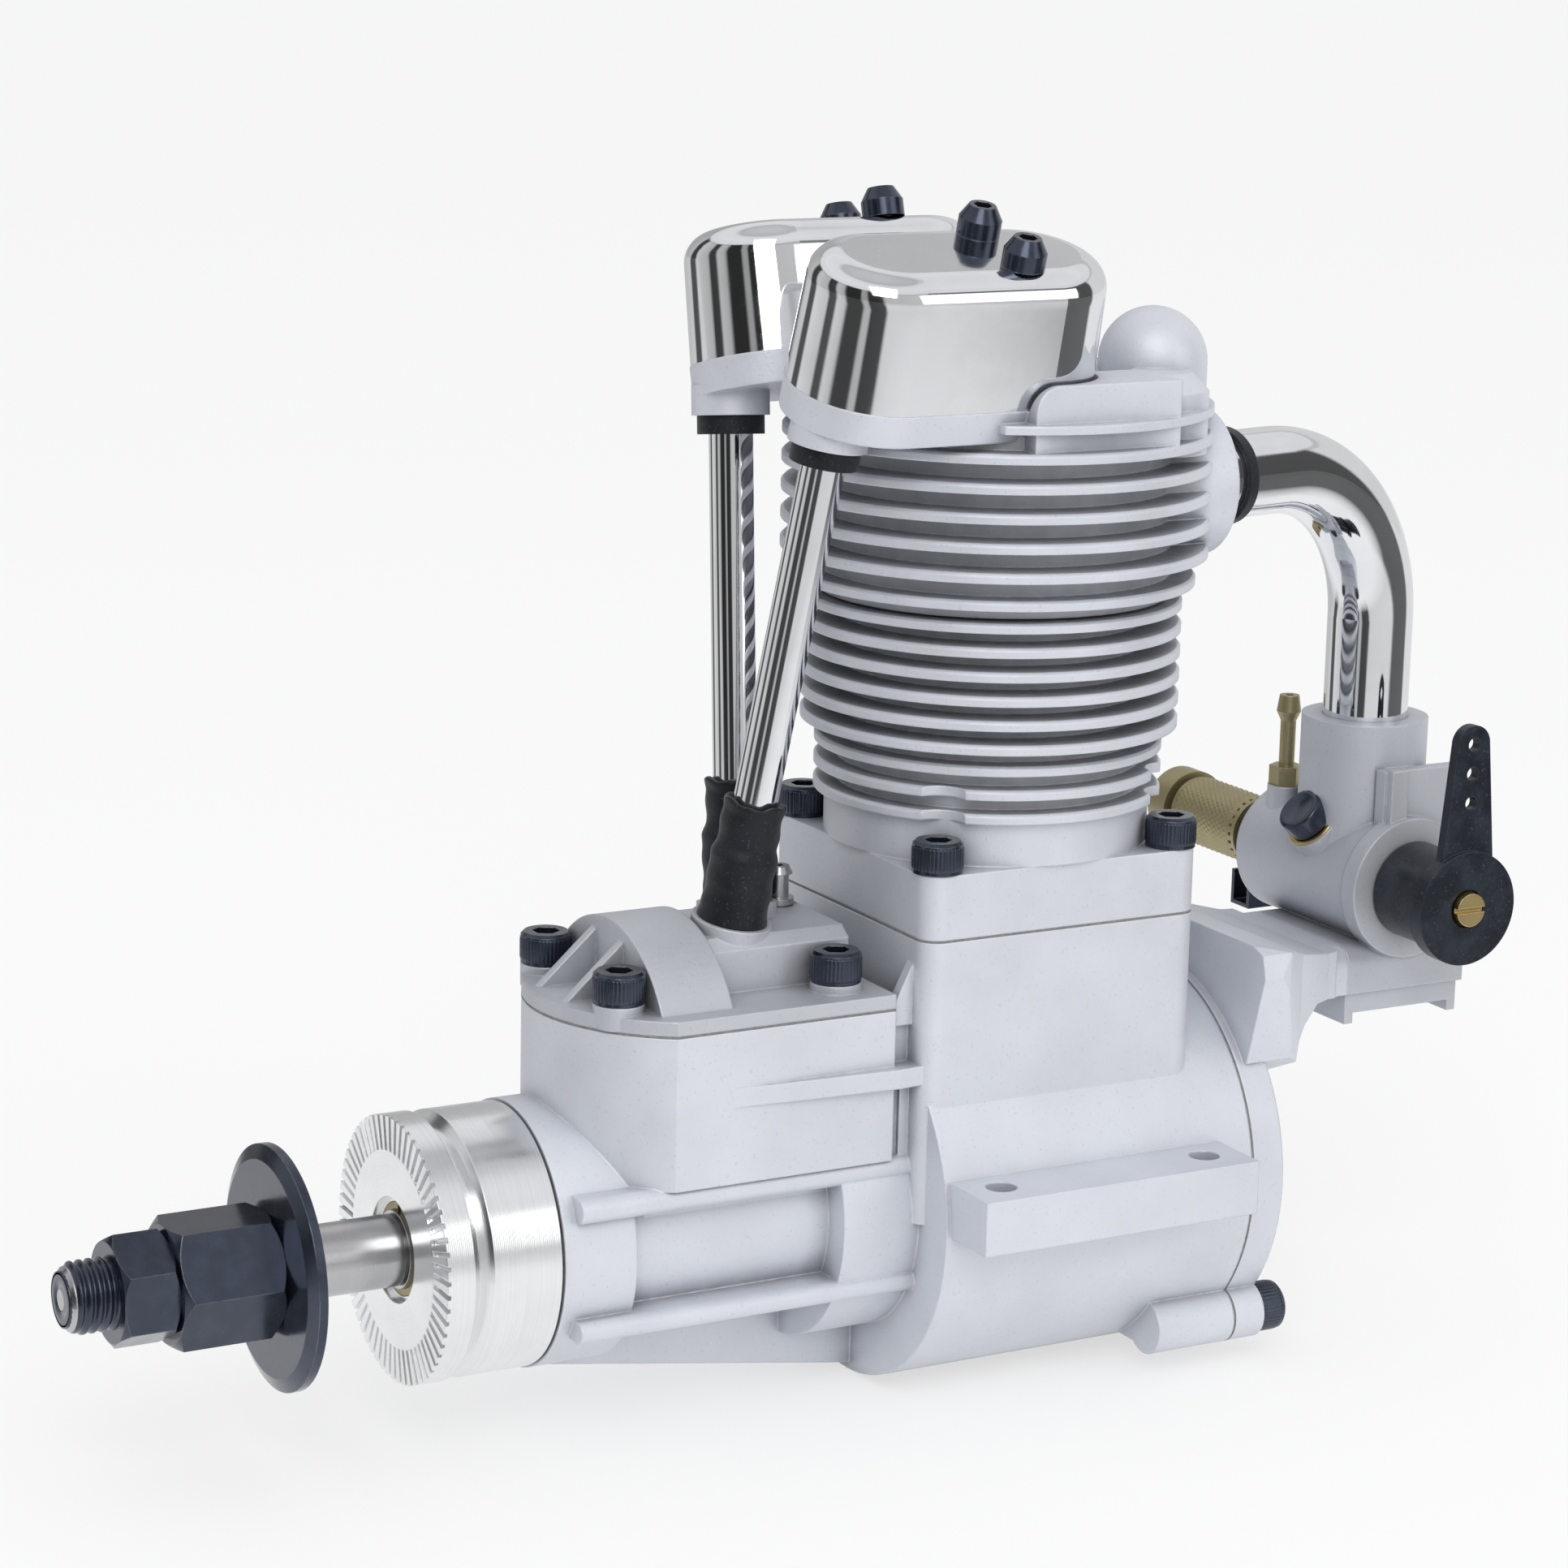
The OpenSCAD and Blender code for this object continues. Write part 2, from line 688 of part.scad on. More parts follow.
module web2d() {
  intersection() {
    circle(r = web_r);
    union() {
      translate([-web_r, -web_r]) square([2 * web_r, web_r - 2]);
      polygon([[-12, -3], [12, -3], [8.6, web_r], [-8.6, web_r]]);
    }
  }
}

module crankshaft() color(steel_col) engine() {
  difference() {
    union() {
      xz_extrude(-web_front, -web_rear) web2d();
      ycyl(journal_d / 2 + 1.4, -chamber_front - 1, -web_front + eps);
      ycyl(journal_d / 2, -rear_brg_front, -chamber_front);
      ycyl(shaft_d / 2, -nose_front - 0.2, -rear_brg_front + eps);
      ycyl(prop_d / 2 + 0.35, -drive_y + 0.2, -nose_front);
      ycyl(prop_d / 2, -prop_washer_y + 0.2, -drive_y - 0.1);
      ycyl(prop_d / 2 - 0.6, -drive_y - 0.2, -drive_y + 0.3);
      ycyl(thread_r, -tip_y + 0.6, -prop_washer_y + 0.21);
      translate([0, -tip_y, 0])
        rotate([-90, 0, 0])
          cylinder(h = 0.6 + eps, r1 = thread_r - 0.6, r2 = thread_r);
      translate([0, -gear_rear, 0])
        rotate([90, 0, 0])
          linear_extrude(height = gear_w)
            rotate(90) gear2d(crank_teeth, 0.55);
    }
    // lightening holes beside the counterweight
    for (s = [-1, 1])
      ycyl(1.5, -web_front - 1, -web_rear + 1, s * 6.2, throw - 3.6);
  }
}

module crank_pin() color(steel_col) engine() {
  ycyl(pin_d / 2, -pin_front, 5.2, 0, throw);
  ycyl(pin_d / 2 + 1.1, 5.2, 6.2, 0, throw);
}

module connecting_rod() color([0.7, 0.7, 0.72]) engine()
  difference() {
    union() {
      ycyl(6.4, -4.2, 4.2, 0, throw);
      ycyl(3.7, -3.4, 3.4, 0, gudgeon_z);
      xz_extrude(-1.3, 1.3)
        polygon([[-3.6, throw + 2], [3.6, throw + 2], [2.4, gudgeon_z - 2], [-2.4, gudgeon_z - 2]]);
      xz_extrude(-2.5, 2.5)
        polygon([[2.8, throw + 4.4], [4.3, throw + 4.4], [3.1, gudgeon_z - 2.4], [1.8, gudgeon_z - 2.4]]);
      mirror([1, 0, 0])
        xz_extrude(-2.5, 2.5)
          polygon([[2.8, throw + 4.4], [4.3, throw + 4.4], [3.1, gudgeon_z - 2.4], [1.8, gudgeon_z - 2.4]]);
    }
    ycyl(pin_d / 2 + 0.04, -6, 6, 0, throw);
    ycyl(2.54, -6, 6, 0, gudgeon_z);
  }

module gudgeon_pin() color(steel_col) engine()
  difference() {
    ycyl(2.5, -bore_r + 1.2, bore_r - 1.2, 0, gudgeon_z);
    ycyl(1.4, -bore_r, bore_r, 0, gudgeon_z);
  }

ring_z = crown_z - 3.4;

module piston() color([0.74, 0.75, 0.76]) engine()
  difference() {
    translate([0, 0, gudgeon_z - 8]) cylinder(h = crown_z - gudgeon_z + 8, r = bore_r - fit);
    difference() {
      translate([0, 0, gudgeon_z - 9]) cylinder(h = crown_z - 5.4 - gudgeon_z + 9, r = bore_r - 2);
      for (s = [-1, 1])
        intersection() {
          translate([0, 0, gudgeon_z - 4.4]) cylinder(h = 20, r = bore_r - 1.9);
          translate([-5, s > 0 ? 3.8 : -bore_r, gudgeon_z - 4.4]) cube([10, bore_r - 3.8, 20]);
        }
    }
    ycyl(2.52, -bore_r - 1, bore_r + 1, 0, gudgeon_z);
    // relief for the small end of the rod
    ycyl(4.1, -3.8, 3.8, 0, gudgeon_z);
    translate([0, 0, ring_z])
      difference() {
        cylinder(h = 1.3, r = bore_r + 1);
        translate([0, 0, -1]) cylinder(h = 4, r = bore_r - 1.3);
      }
  }

module piston_ring() color([0.4, 0.4, 0.42]) engine()
  difference() {
    translate([0, 0, ring_z + 0.05]) cylinder(h = 1.2, r = bore_r - 0.02);
    translate([0, 0, ring_z - 1]) cylinder(h = 4, r = bore_r - 1.2);
    translate([bore_r - 3, -0.15, ring_z - 1]) cube([4, 0.3, 4]);
  }

// ---------------------------------------------------------------- propeller fixing

collet_r = 5.5;
collet_front = drive_y - 0.8;
collet_len = collet_front - nose_front - 0.4;
collet_rate = 1 / 12.6;
groove_y = drive_y - 3.2;

module taper_collet() color(brass_col) engine()
  difference() {
    translate([0, -collet_front, 0])
      rotate([-90, 0, 0])
        cylinder(h = collet_len, r1 = collet_r - 0.3, r2 = collet_r - 0.3 + collet_rate * collet_len);
    ycyl(prop_d / 2 + 0.37, -drive_y - 1, -nose_front + 1);
    translate([-0.4, -drive_y - 1, 0]) cube([0.8, drive_y, 12]);
  }

module drive_washer() color([0.86, 0.87, 0.88]) engine()
  difference() {
    rotate([90, 0, 0])
      rotate_extrude()
        polygon([[nose_r - 3, nose_front + slack], [drive_r - 0.1, nose_front + slack],
          [drive_r - 0.1, groove_y - 2.3], [drive_r - 1.4, groove_y - 1.15],
          [drive_r, groove_y], [drive_r, drive_y], [collet_r + 0.4, drive_y],
          [collet_r + 0.4, collet_front], [collet_r - 0.3 + fit, collet_front],
          [collet_r - 0.3 + fit + collet_rate * (collet_front - nose_front - 1.6), nose_front + 1.6],
          [nose_r - 3, nose_front + 1.6]]);
    // radial grooves on the front face
    translate([0, -drive_y - 1, 0])
      rotate([-90, 0, 0])
        linear_extrude(height = 1.35)
          for (k = [0 : 59])
            rotate(k * 6 + 3)
              translate([drive_r * 0.74, -0.28])
                square([drive_r, 0.56]);
  }

prop_washer_y = drive_y + prop_gap;

module prop_washer() color(dark_col) engine()
  difference() {
    union() {
      ycyl(prop_washer_r, -prop_washer_y - 1, -prop_washer_y);
      translate([0, -prop_washer_y - 1.7, 0])
        rotate([-90, 0, 0])
          cylinder(h = 0.7 + eps, r1 = prop_washer_r - 1.6, r2 = prop_washer_r);
    }
    ycyl(prop_d / 2 + 0.1, -prop_washer_y - 3, -prop_washer_y + 1);
  }

module hex_nut(af, h, bore_d, cham) {
  difference() {
    intersection() {
      cylinder(h = h, r = af / 2 / cos(30), $fn = 6);
      union() {
        cylinder(h = cham, r1 = af / 2, r2 = af / 2 / cos(30) + 0.2);
        translate([0, 0, cham]) cylinder(h = h - 2 * cham, r = af / 2 / cos(30) + 0.2);
        translate([0, 0, h - cham]) cylinder(h = cham, r1 = af / 2 / cos(30) + 0.2, r2 = af / 2);
      }
    }
    translate([0, 0, -1]) cylinder(h = h + 2, r = bore_d / 2);
  }
}

prop_nut_y = prop_washer_y + 1.7 + prop_nut_h;
lock_nut_y = prop_nut_y + 6.2;

module prop_nut() color(dark_col) engine()
  translate([0, -prop_nut_y, 0])
    rotate([-90, 0, 0])
      hex_nut(prop_nut_af, prop_nut_h, thread_r * 2 + 0.12, 1);

module lock_nut() color(dark_col) engine()
  translate([0, -lock_nut_y, 0])
    rotate([-90, 30, 0])
      hex_nut(lock_nut_af, 6.2, thread_r * 2 + 0.12, 0.8);

// ---------------------------------------------------------------- cam drive

module cam2d() {
  circle(r = cam_base_r);
  translate([0, cam_rise + 1.4]) circle(r = cam_base_r - 1.4);
  polygon([[-cam_base_r + 0.12, 0.9], [cam_base_r - 0.12, 0.9],
    [cam_base_r - 1.5, cam_rise + 2], [-cam_base_r + 1.5, cam_rise + 2]]);
}

module camshaft() color(steel_col) engine()
  translate([0, 0, cam_z])
    difference() {
      union() {
        translate([0, -gear_rear, 0])
          rotate([90, 0, 0])
            linear_extrude(height = gear_w)
              rotate(90 + 180 / cam_teeth) gear2d(cam_teeth, 0.28);
        ycyl(4, -gear_room_front + 0.2, -26.9);
        translate([0, int_cam_y + cam_w / 2, 0])
          rotate([90, 0, 0])
            linear_extrude(height = cam_w)
              rotate(-125) cam2d();
        translate([0, exh_cam_y + cam_w / 2, 0])
          rotate([90, 0, 0])
            linear_extrude(height = cam_w)
              rotate(130) cam2d();
      }
      ycyl(axle_d / 2 + 0.04, -60, 0);
      for (k = [0 : 4])
        rotate([0, k * 72, 0])
          ycyl(1.9, -60, -gear_rear + 1, 0, 8.2);
    }

module cam_axle() color(steel_col) engine()
  ycyl(axle_d / 2, -gear_room_front - 2, -22.6, 0, cam_z);

module guide(low) {
  difference() {
    union() {
      translate([0, 0, guide_low_s]) cylinder(h = guide_top_s - guide_low_s, r = guide_r);
    }
    translate([0, 0, guide_low_s - 1])
      cylinder(h = guide_top_s - guide_low_s + 2, r = tappet_r + 0.04);
  }
}

module guides() color(brass_col) engine() {
  along(int_low, int_high) guide(int_low);
  along(exh_low, exh_high) guide(exh_low);
  for (s = [-1, 1])
    bank(s)
      translate([0, valve_y, -13.6])
        difference() {
          cylinder(h = 12, r = 2.5);
          translate([0, 0, -1]) cylinder(h = 14, r = stem_d / 2 + 0.04);
        }
}

module tappet() {
  translate([0, 0, foot_s]) cylinder(h = foot_t, r = foot_r);
  difference() {
    translate([0, 0, foot_s + foot_t - eps])
      cylinder(h = tappet_top_s - foot_s - foot_t, r = tappet_r);
    translate([0, 0, tappet_top_s - 1]) cylinder(h = 2, r = rod_r + 0.03);
  }
}

module intake_tappet() color(steel_col) engine()
  along(int_low, int_high) tappet();

module exhaust_tappet() color(steel_col) engine()
  along(exh_low, exh_high) tappet();

module pushrod() {
  translate([0, 0, tappet_top_s - 1]) cylinder(h = tip_s - tappet_top_s + 1 - rod_r, r = rod_r);
  translate([0, 0, tip_s - rod_r]) sphere(r = rod_r);
}

module intake_pushrod() color(steel_col) engine()
  along(int_low, int_high) pushrod();

module exhaust_pushrod() color(steel_col) engine()
  along(exh_low, exh_high) pushrod();

module boot() {
  difference() {
    union() {
      cylinder(h = 8, r = boot_r);
      translate([0, 0, 8]) cylinder(h = 0.8, r1 = boot_r, r2 = boot_r - 0.4);
      translate([0, 0, 8]) cylinder(h = boot_len - 8, r = boot_r - 0.35);
    }
    translate([0, 0, -1]) cylinder(h = guide_top_s + 1.6, r = guide_r + 0.03);
    cylinder(h = boot_len + 1, r = tube_r + 0.03);
  }
}

module pushrod_boots() color(dark_col) engine() {
  along(int_low, int_high) boot();
  along(exh_low, exh_high) boot();
}

module tube() {
  difference() {
    translate([0, 0, tube_low_s]) cylinder(h = boss_face_s + 1 - tube_low_s, r = tube_r);
    translate([0, 0, tube_low_s - 1]) cylinder(h = boss_face_s, r = tube_r - 0.42);
    translate([0, 0, boss_face_s - 2]) cylinder(h = 6, r = tube_r - 0.42);
  }
}

module pushrod_tubes() color(chrome_col) engine() {
  along(int_low, int_high) tube();
  along(exh_low, exh_high) tube();
}

module grommet() {
  difference() {
    union() {
      translate([0, 0, boss_face_s - grommet_t]) cylinder(h = grommet_t, r = 3.8);
      translate([0, 0, boss_face_s - eps]) cylinder(h = 2.6, r = 3.2);
    }
    translate([0, 0, boss_face_s - grommet_t - 1]) cylinder(h = 9, r = tube_r + 0.03);
  }
}

module pushrod_grommets() color(dark_col) engine() {
  along(int_low, int_high) grommet();
  along(exh_low, exh_high) grommet();
}

module cam_cover_body() {
  translate([0, 0, cam_cover_z])
    linear_extrude(height = cam_plate_t)
      cam_plan(0);
  intersection() {
    ycyl(dome_r, -dome_front, -dome_rear, 0, cam_z);
    translate([-cam_half, -60, cam_cover_z]) cube([2 * cam_half, 60, 30]);
  }
  // box over the tappets with a sloping roof
  translate([0, 0, 0])
    xz_extrude(-dome_rear - 1, -22.2)
      polygon([[-box_half, cam_cover_z + 0.4], [box_half, cam_cover_z + 0.4],
        [box_half, box_top - 1.2], [box_half - 1.6, box_top],
        [-box_half + 1.6, box_top], [-box_half, box_top - 1.2]]);
  // round seats of the rubber boots
  along(int_low, int_high) translate([0, 0, -4]) cylinder(h = 4, r = boot_r + 0.8);
  along(exh_low, exh_high) translate([0, 0, -4]) cylinder(h = 4, r = boot_r + 0.8);
  // screw bosses
  cam_screw_places()
    translate([0, 0, cam_cover_z]) cylinder(h = cam_plate_t + 1, r = scr_head_r);
  // ribs between plate edge and dome
  for (s = [-1, 1])
    yz_extrude(s * 3.4 - 0.6, s * 3.4 + 0.6)
      polygon([[-55.4, cam_plate_z - 0.2], [-dome_front + 0.4, cam_plate_z - 0.2],
        [-dome_front + 0.4, cam_z + dome_r - 1.4]]);
}

module cam_cover() color(cast_col) engine()
  difference() {
    cam_cover_body();
    intersection() {
      ycyl(gear_hole_r, -gear_room_front, -gear_room_rear, 0, cam_z);
      translate([-cam_half, -60, cam_cover_z - 1]) cube([2 * cam_half, 60, 40]);
    }
    translate([-box_half + cam_wall, -gear_room_rear - 1, cam_cover_z - 1])
      cube([2 * (box_half - cam_wall), gear_room_rear + 1 - 24, box_top - cam_wall - cam_cover_z + 0.6]);
    along(int_low, int_high)
      translate([0, 0, guide_low_s - 3]) cylinder(h = 20, r = guide_r + 0.02);
    along(exh_low, exh_high)
      translate([0, 0, guide_low_s - 3]) cylinder(h = 20, r = guide_r + 0.02);
    cam_screw_places()
      translate([0, 0, cam_cover_z - 1]) cylinder(h = 5, r = scr_r + 0.2);
    translate([-4.6, -24.4, box_top - 6]) cylinder(h = 7, r = 1.22);
    translate([-4.6, -24.4, box_top - 0.15]) cylinder(h = 4, r = 2.1);
  }

module cam_cover_gasket() color([0.35, 0.33, 0.3]) engine()
  difference() {
    translate([0, 0, cam_joint_z]) linear_extrude(height = gasket_t) cam_plan(0);
    translate([-gear_hole_r, -gear_room_front, cam_joint_z - 1])
      cube([2 * gear_hole_r, gear_room_front - gear_room_rear, 3]);
    translate([-cam_cavity_r, -gear_room_rear - 1, cam_joint_z - 1])
      cube([2 * cam_cavity_r, gear_room_rear + 1 - 26.6, 3]);
    cam_screw_places()
      translate([0, 0, cam_joint_z - 1]) cylinder(h = 3, r = scr_r + 0.2);
  }

module cam_cover_screws() color(dark_col) engine()
  cam_screw_places()
    translate([0, 0, cam_plate_z + 1])
      cap_screw(scr_head_r, scr_head_h, scr_r, 7.4);

module breather_nipple() color(steel_col) engine()
  translate([-4.6, -24.4, box_top])
    difference() {
      union() {
        translate([0, 0, -cam_wall]) cylinder(h = 5, r = 1.2);
        translate([0, 0, -0.15]) cylinder(h = 0.95, r = 1.8);
        translate([0, 0, 3.6]) cylinder(h = 0.9, r1 = 1.6, r2 = 1.2);
      }
      translate([0, 0, -5]) cylinder(h = 12, r = 0.6);
    }

// ---------------------------------------------------------------- cylinder and head

fin_z = concat([for (i = [0 : fins_up]) fin_top_z - i * pitch_up],
  [for (i = [1 : fins_low]) fin_top_z - fins_up * pitch_up - i * pitch_low]);
fin_n = len(fin_z);
low_fin_z = fin_z[fin_n - 1];

function fin_radius(i) =
  i < fins_up ? fin_r_up :
  i == fins_up ? (fin_r_up + fin_r_mid) / 2 :
  i < fin_n - 3 ? fin_r_mid : fin_r_low;

module fins() {
  for (i = [0 : fin_n - 1])
    translate([0, 0, fin_z[i] - fin_t]) {
      cylinder(h = fin_t - 0.3, r = fin_radius(i));
      translate([0, 0, fin_t - 0.3 - eps])
        cylinder(h = 0.3, r1 = fin_radius(i), r2 = fin_radius(i) - 0.3);
    }
}

module pedestal_solid() {
  translate([0, 0, -ring_h]) linear_extrude(height = ring_h) stadium(box_r);
}

module cylinder_body() {
  translate([0, 0, flange_z])
    linear_extrude(height = flange_t)
      rsquare(2 * block_half, 2 * block_half, 2.4);
  translate([0, 0, spigot_bottom]) cylinder(h = flange_z - spigot_bottom + 1, r = spigot_r);
  translate([0, 0, flange_top - eps]) cylinder(h = low_fin_z - flange_top, r = 18.6);
  translate([0, 0, flange_top]) cylinder(h = fin_top_z - flange_top, r = wall_r);
  fins();
  // short fin below the rocker boxes
  intersection() {
    translate([0, 0, fin_top_z + pitch_up - fin_t]) cylinder(h = fin_t - 0.2, r = fin_r_up);
    translate([-30, -12, fin_top_z]) cube([60, 42, 8]);
  }
  // solid head between the fins
  translate([0, 0, deck_z - 2]) cylinder(h = fin_top_z - deck_z + 2, r = 20);
  // bridge under both rocker boxes
  intersection() {
    xz_extrude(-20, 17)
      polygon([[-19.6, fin_top_z - 1], [19.6, fin_top_z - 1], [20.2, 88.6], [2.6, 93.6],
        [0, 92], [-2.6, 93.6], [-20.2, 88.6]]);
    translate([0, 0, fin_top_z - 2]) cylinder(h = 20, r = 21.4);
  }
  for (s = [-1, 1]) {
    bank(s) pedestal_solid();
    // wall outside the rear half of the rocker box
    translate([s > 0 ? 12.4 : -22, 0, 0])
      yz_extrude(0, 9.6) {
        translate([-8.6, 86]) square([18.6, 5.4]);
        translate([-5.6, 86]) square([15.6, 8.4]);
        translate([-5.6, 91.4]) circle(r = 3);
      }
  }
  along(int_low, int_high) translate([0, 0, boss_face_s]) cylinder(h = 3.4, r = 4.4);
  along(exh_low, exh_high) translate([0, 0, boss_face_s]) cylinder(h = 3.4, r = 4.4);
  // inlet port boss and the rounded hump above it
  ycyl(8.6, 6, port_face - 1.4, port_x, port_z);
  translate([hump_x, hump_y, port_z]) cylinder(h = 20 - hump_r, r = hump_r);
  translate([hump_x, hump_y, port_z + 20 - hump_r]) sphere(r = hump_r);
  translate([13, 13.2, fin_top_z - 2]) cylinder(h = 7, r = 5.4);
  translate([13, 13.2, fin_top_z + 5 - eps]) cylinder(h = 2, r1 = 5.4, r2 = 3.4);
  // exhaust port boss
  xcyl(8, -port_face - 1, -8, valve_y, port_z);
  // glow plug boss
  glow_place() translate([0, 0, 4]) cylinder(h = 12.4, r = 6.2);
}

module glow_place() {
  translate([-2.5, 6, sphere_z + sqrt(pow(roof_r, 2) - 42)])
    rotate([-38, -22, 0])
      children();
}

module cylinder_part() color(cast_col) engine()
  difference() {
    cylinder_body();
    translate([0, 0, spigot_bottom - 1]) cylinder(h = deck_z - spigot_bottom + 1, r = bore_r);
    // domed roof of the combustion chamber
    intersection() {
      translate([0, 0, sphere_z]) sphere(r = roof_r);
      translate([0, 0, deck_z - 1]) cylinder(h = 30, r = bore_r);
    }
    // hollow of the rocker boxes
    for (s = [-1, 1])
      bank(s) {
        translate([0, 0, floor_w]) linear_extrude(height = 12) stadium(box_r - cover_wall - 0.4);
        linear_extrude(height = 12) stadium(box_r + slack);
        // valve pocket, guide bore and seat
        translate([0, valve_y, -13.4]) cylinder(h = 14, r = 2.52);
        translate([0, valve_y, valve_face_w + 1.5]) cylinder(h = 6, r = valve_r - 1);
        translate([0, valve_y, valve_face_w + 0.6])
          cylinder(h = 1, r1 = valve_r, r2 = valve_r - 1);
        translate([0, valve_y, valve_face_w - 6]) cylinder(h = 6.61, r = valve_r + 0.02);
        // cover screw holes
        for (k = [-1, 1])
          translate([k * cover_scr_x, cover_scr_y, -9]) cylinder(h = 12, r = 1.3);
      }
    // openings for push rods and grommets
    along(int_low, int_high) {
      translate([0, 0, boss_face_s - 3]) cylinder(h = 12, r = tube_r + 0.3);
      translate([0, 0, boss_face_s - 1]) cylinder(h = 3.7, r = 3.22);
    }
    along(exh_low, exh_high) {
      translate([0, 0, boss_face_s - 3]) cylinder(h = 12, r = tube_r + 0.3);
      translate([0, 0, boss_face_s - 1]) cylinder(h = 3.7, r = 3.22);
    }
    // inlet port
    ycyl(4.2, valve_y, port_face, port_x, port_z);
    inlet_seat(manifold_r + 0.03);
    // exhaust port with its threaded mouth
    xcyl(4, -port_face - 2, -port_x, valve_y, port_z);
    xcyl(5, -port_face - 2, -port_face + 7, valve_y, port_z);
    // glow plug
    glow_place() {
      translate([0, 0, -6]) cylinder(h = 40, r = glow_r + fit);
      translate([0, 0, glow_seat]) cylinder(h = 20, r = glow_hex_r + 0.4);
    }
    cylinder_screw_places() {
      translate([0, 0, flange_z - 1]) cylinder(h = flange_t + 2, r = scr_r + 0.2);
      translate([0, 0, flange_top]) cylinder(h = 10.4, r = scr_head_r + 0.35);
    }
  }

module inlet_seat(r) {
  translate([0, carb_y, port_z])
    rotate([0, 0, manifold_ang])
      ycyl(r, -port_reach, -20);
}

module cylinder_gasket() color([0.35, 0.33, 0.3]) engine()
  difference() {
    translate([0, 0, block_top])
      linear_extrude(height = gasket_t)
        rsquare(2 * block_half, 2 * block_half, 2.4);
    translate([0, 0, block_top - 1]) cylinder(h = 3, r = spigot_r + fit);
    cylinder_screw_places()
      translate([0, 0, block_top - 1]) cylinder(h = 3, r = scr_r + 0.2);
  }

module cylinder_screws() color(dark_col) engine()
  cylinder_screw_places()
    translate([0, 0, flange_top])
      cap_screw(scr_head_r, scr_head_h, scr_r, flange_t + gasket_t + 8);

module glow_plug() color(steel_col) engine()
  glow_place()
    difference() {
      union() {
        translate([0, 0, 1]) cylinder(h = glow_seat - 0.9, r = glow_r);
        translate([0, 0, glow_seat]) cylinder(h = 1, r = 4.3);
        translate([0, 0, glow_seat + 1]) cylinder(h = 5.4, r = glow_hex_r, $fn = 6);
        translate([0, 0, glow_seat + 6.4]) cylinder(h = 3, r = 2.5);
        translate([0, 0, glow_seat + 9.4]) cylinder(h = 2.8, r = 1.5);
        translate([0, 0, glow_seat + 12.2]) sphere(r = 1.5);
      }
      translate([0, 0, -1]) cylinder(h = 5, r = 2);
    }

// ---------------------------------------------------------------- valve gear

module valve() {
  translate([0, valve_y, 0]) {
    translate([0, 0, valve_face_w]) cylinder(h = 0.6, r = valve_r - 0.03);
    translate([0, 0, valve_face_w + 0.6 - eps]) cylinder(h = 1, r1 = valve_r - 0.03, r2 = valve_r - 1.03);
    translate([0, 0, valve_face_w + 1.5]) cylinder(h = 2, r1 = valve_r - 2, r2 = stem_d / 2);
    translate([0, 0, valve_face_w + 1]) cylinder(h = valve_tip_w - valve_face_w - 1, r = stem_d / 2);
  }
}

module intake_valve() color(steel_col) engine() bank(1) valve();

module exhaust_valve() color(steel_col) engine() bank(-1) valve();

module retainer() {
  translate([0, valve_y, retainer_w])
    difference() {
      union() {
        cylinder(h = 0.9, r = 4.4);
        translate([0, 0, 0.9 - eps]) cylinder(h = 0.8, r1 = 3.2, r2 = 2.6);
      }
      translate([0, 0, -1]) cylinder(h = 4, r = stem_d / 2 + 0.02);
    }
}

module intake_retainer() color(steel_col) engine() bank(1) retainer();

module exhaust_retainer() color(steel_col) engine() bank(-1) retainer();

// Round wire swept along a helix
module coil(r, wire, h, turns) {
  ns = 18;
  nw = 8;
  n = round(ns * turns);
  rise = h - wire;
  pts = [for (i = [0 : n])
    for (j = [0 : nw - 1])
      let (a = 360 * turns * i / n, b = 360 * j / nw)
        [(r + wire / 2 * cos(b)) * cos(a), (r + wire / 2 * cos(b)) * sin(a),
          wire / 2 + rise * i / n + wire / 2 * sin(b)]];
  sides = [for (i = [0 : n - 1])
    for (j = [0 : nw - 1])
      [i * nw + j, i * nw + (j + 1) % nw, (i + 1) * nw + (j + 1) % nw, (i + 1) * nw + j]];
  ends = [[for (j = [nw - 1 : -1 : 0]) j], [for (j = [0 : nw - 1]) n * nw + j]];
  polyhedron(points = pts, faces = concat(sides, ends), convexity = 8);
}

module spring() {
  translate([0, valve_y, floor_w])
    coil(spring_r, spring_wire, retainer_w - floor_w, spring_turns);
}

module intake_spring() color(steel_col) engine() bank(1) spring();

module exhaust_spring() color(steel_col) engine() bank(-1) spring();

module rocker() {
  difference() {
    union() {
      xcyl(3.1, -rocker_half, rocker_half, pivot_y, pivot_w);
      yz_extrude(-rocker_half, rocker_half)
        polygon([[rod_end_y - 2.2, pivot_w - 0.4], [pivot_y, pivot_w - 2.4],
          [pivot_y, pivot_w + 2.7], [rod_end_y + 2.6, pivot_w + 2],
          [rod_end_y - 2.2, pivot_w + 2]]);
      yz_extrude(-rocker_half, rocker_half)
        polygon([[pivot_y, pivot_w - 2.4], [valve_y - 3.4, valve_tip_w + 0.6],
          [valve_y - 2.4, valve_tip_w + 2.6], [pivot_y, pivot_w + 2.8]]);
      yz_extrude(-1.5, 1.5)
        polygon([[valve_y - 5.4, valve_tip_w - 0.2], [valve_y - 1.4, valve_tip_w + lash + 0.1],
          [valve_y, valve_tip_w + lash], [valve_y + 1, valve_tip_w + 1.2],
          [valve_y + 1, valve_tip_w + 2.2], [valve_y - 2.4, valve_tip_w + 2.4],
          [valve_y - 5.4, valve_tip_w + 1.4]]);
    }
    xcyl(1.54, -9, 9, pivot_y, pivot_w);
    translate([0.4, rod_end_y, pivot_w - 4]) cylinder(h = 10, r = 1.24);
  }
}

module intake_rocker() color(steel_col) engine() bank(1) rocker();

module exhaust_rocker() color(steel_col) engine() bank(-1) rocker();

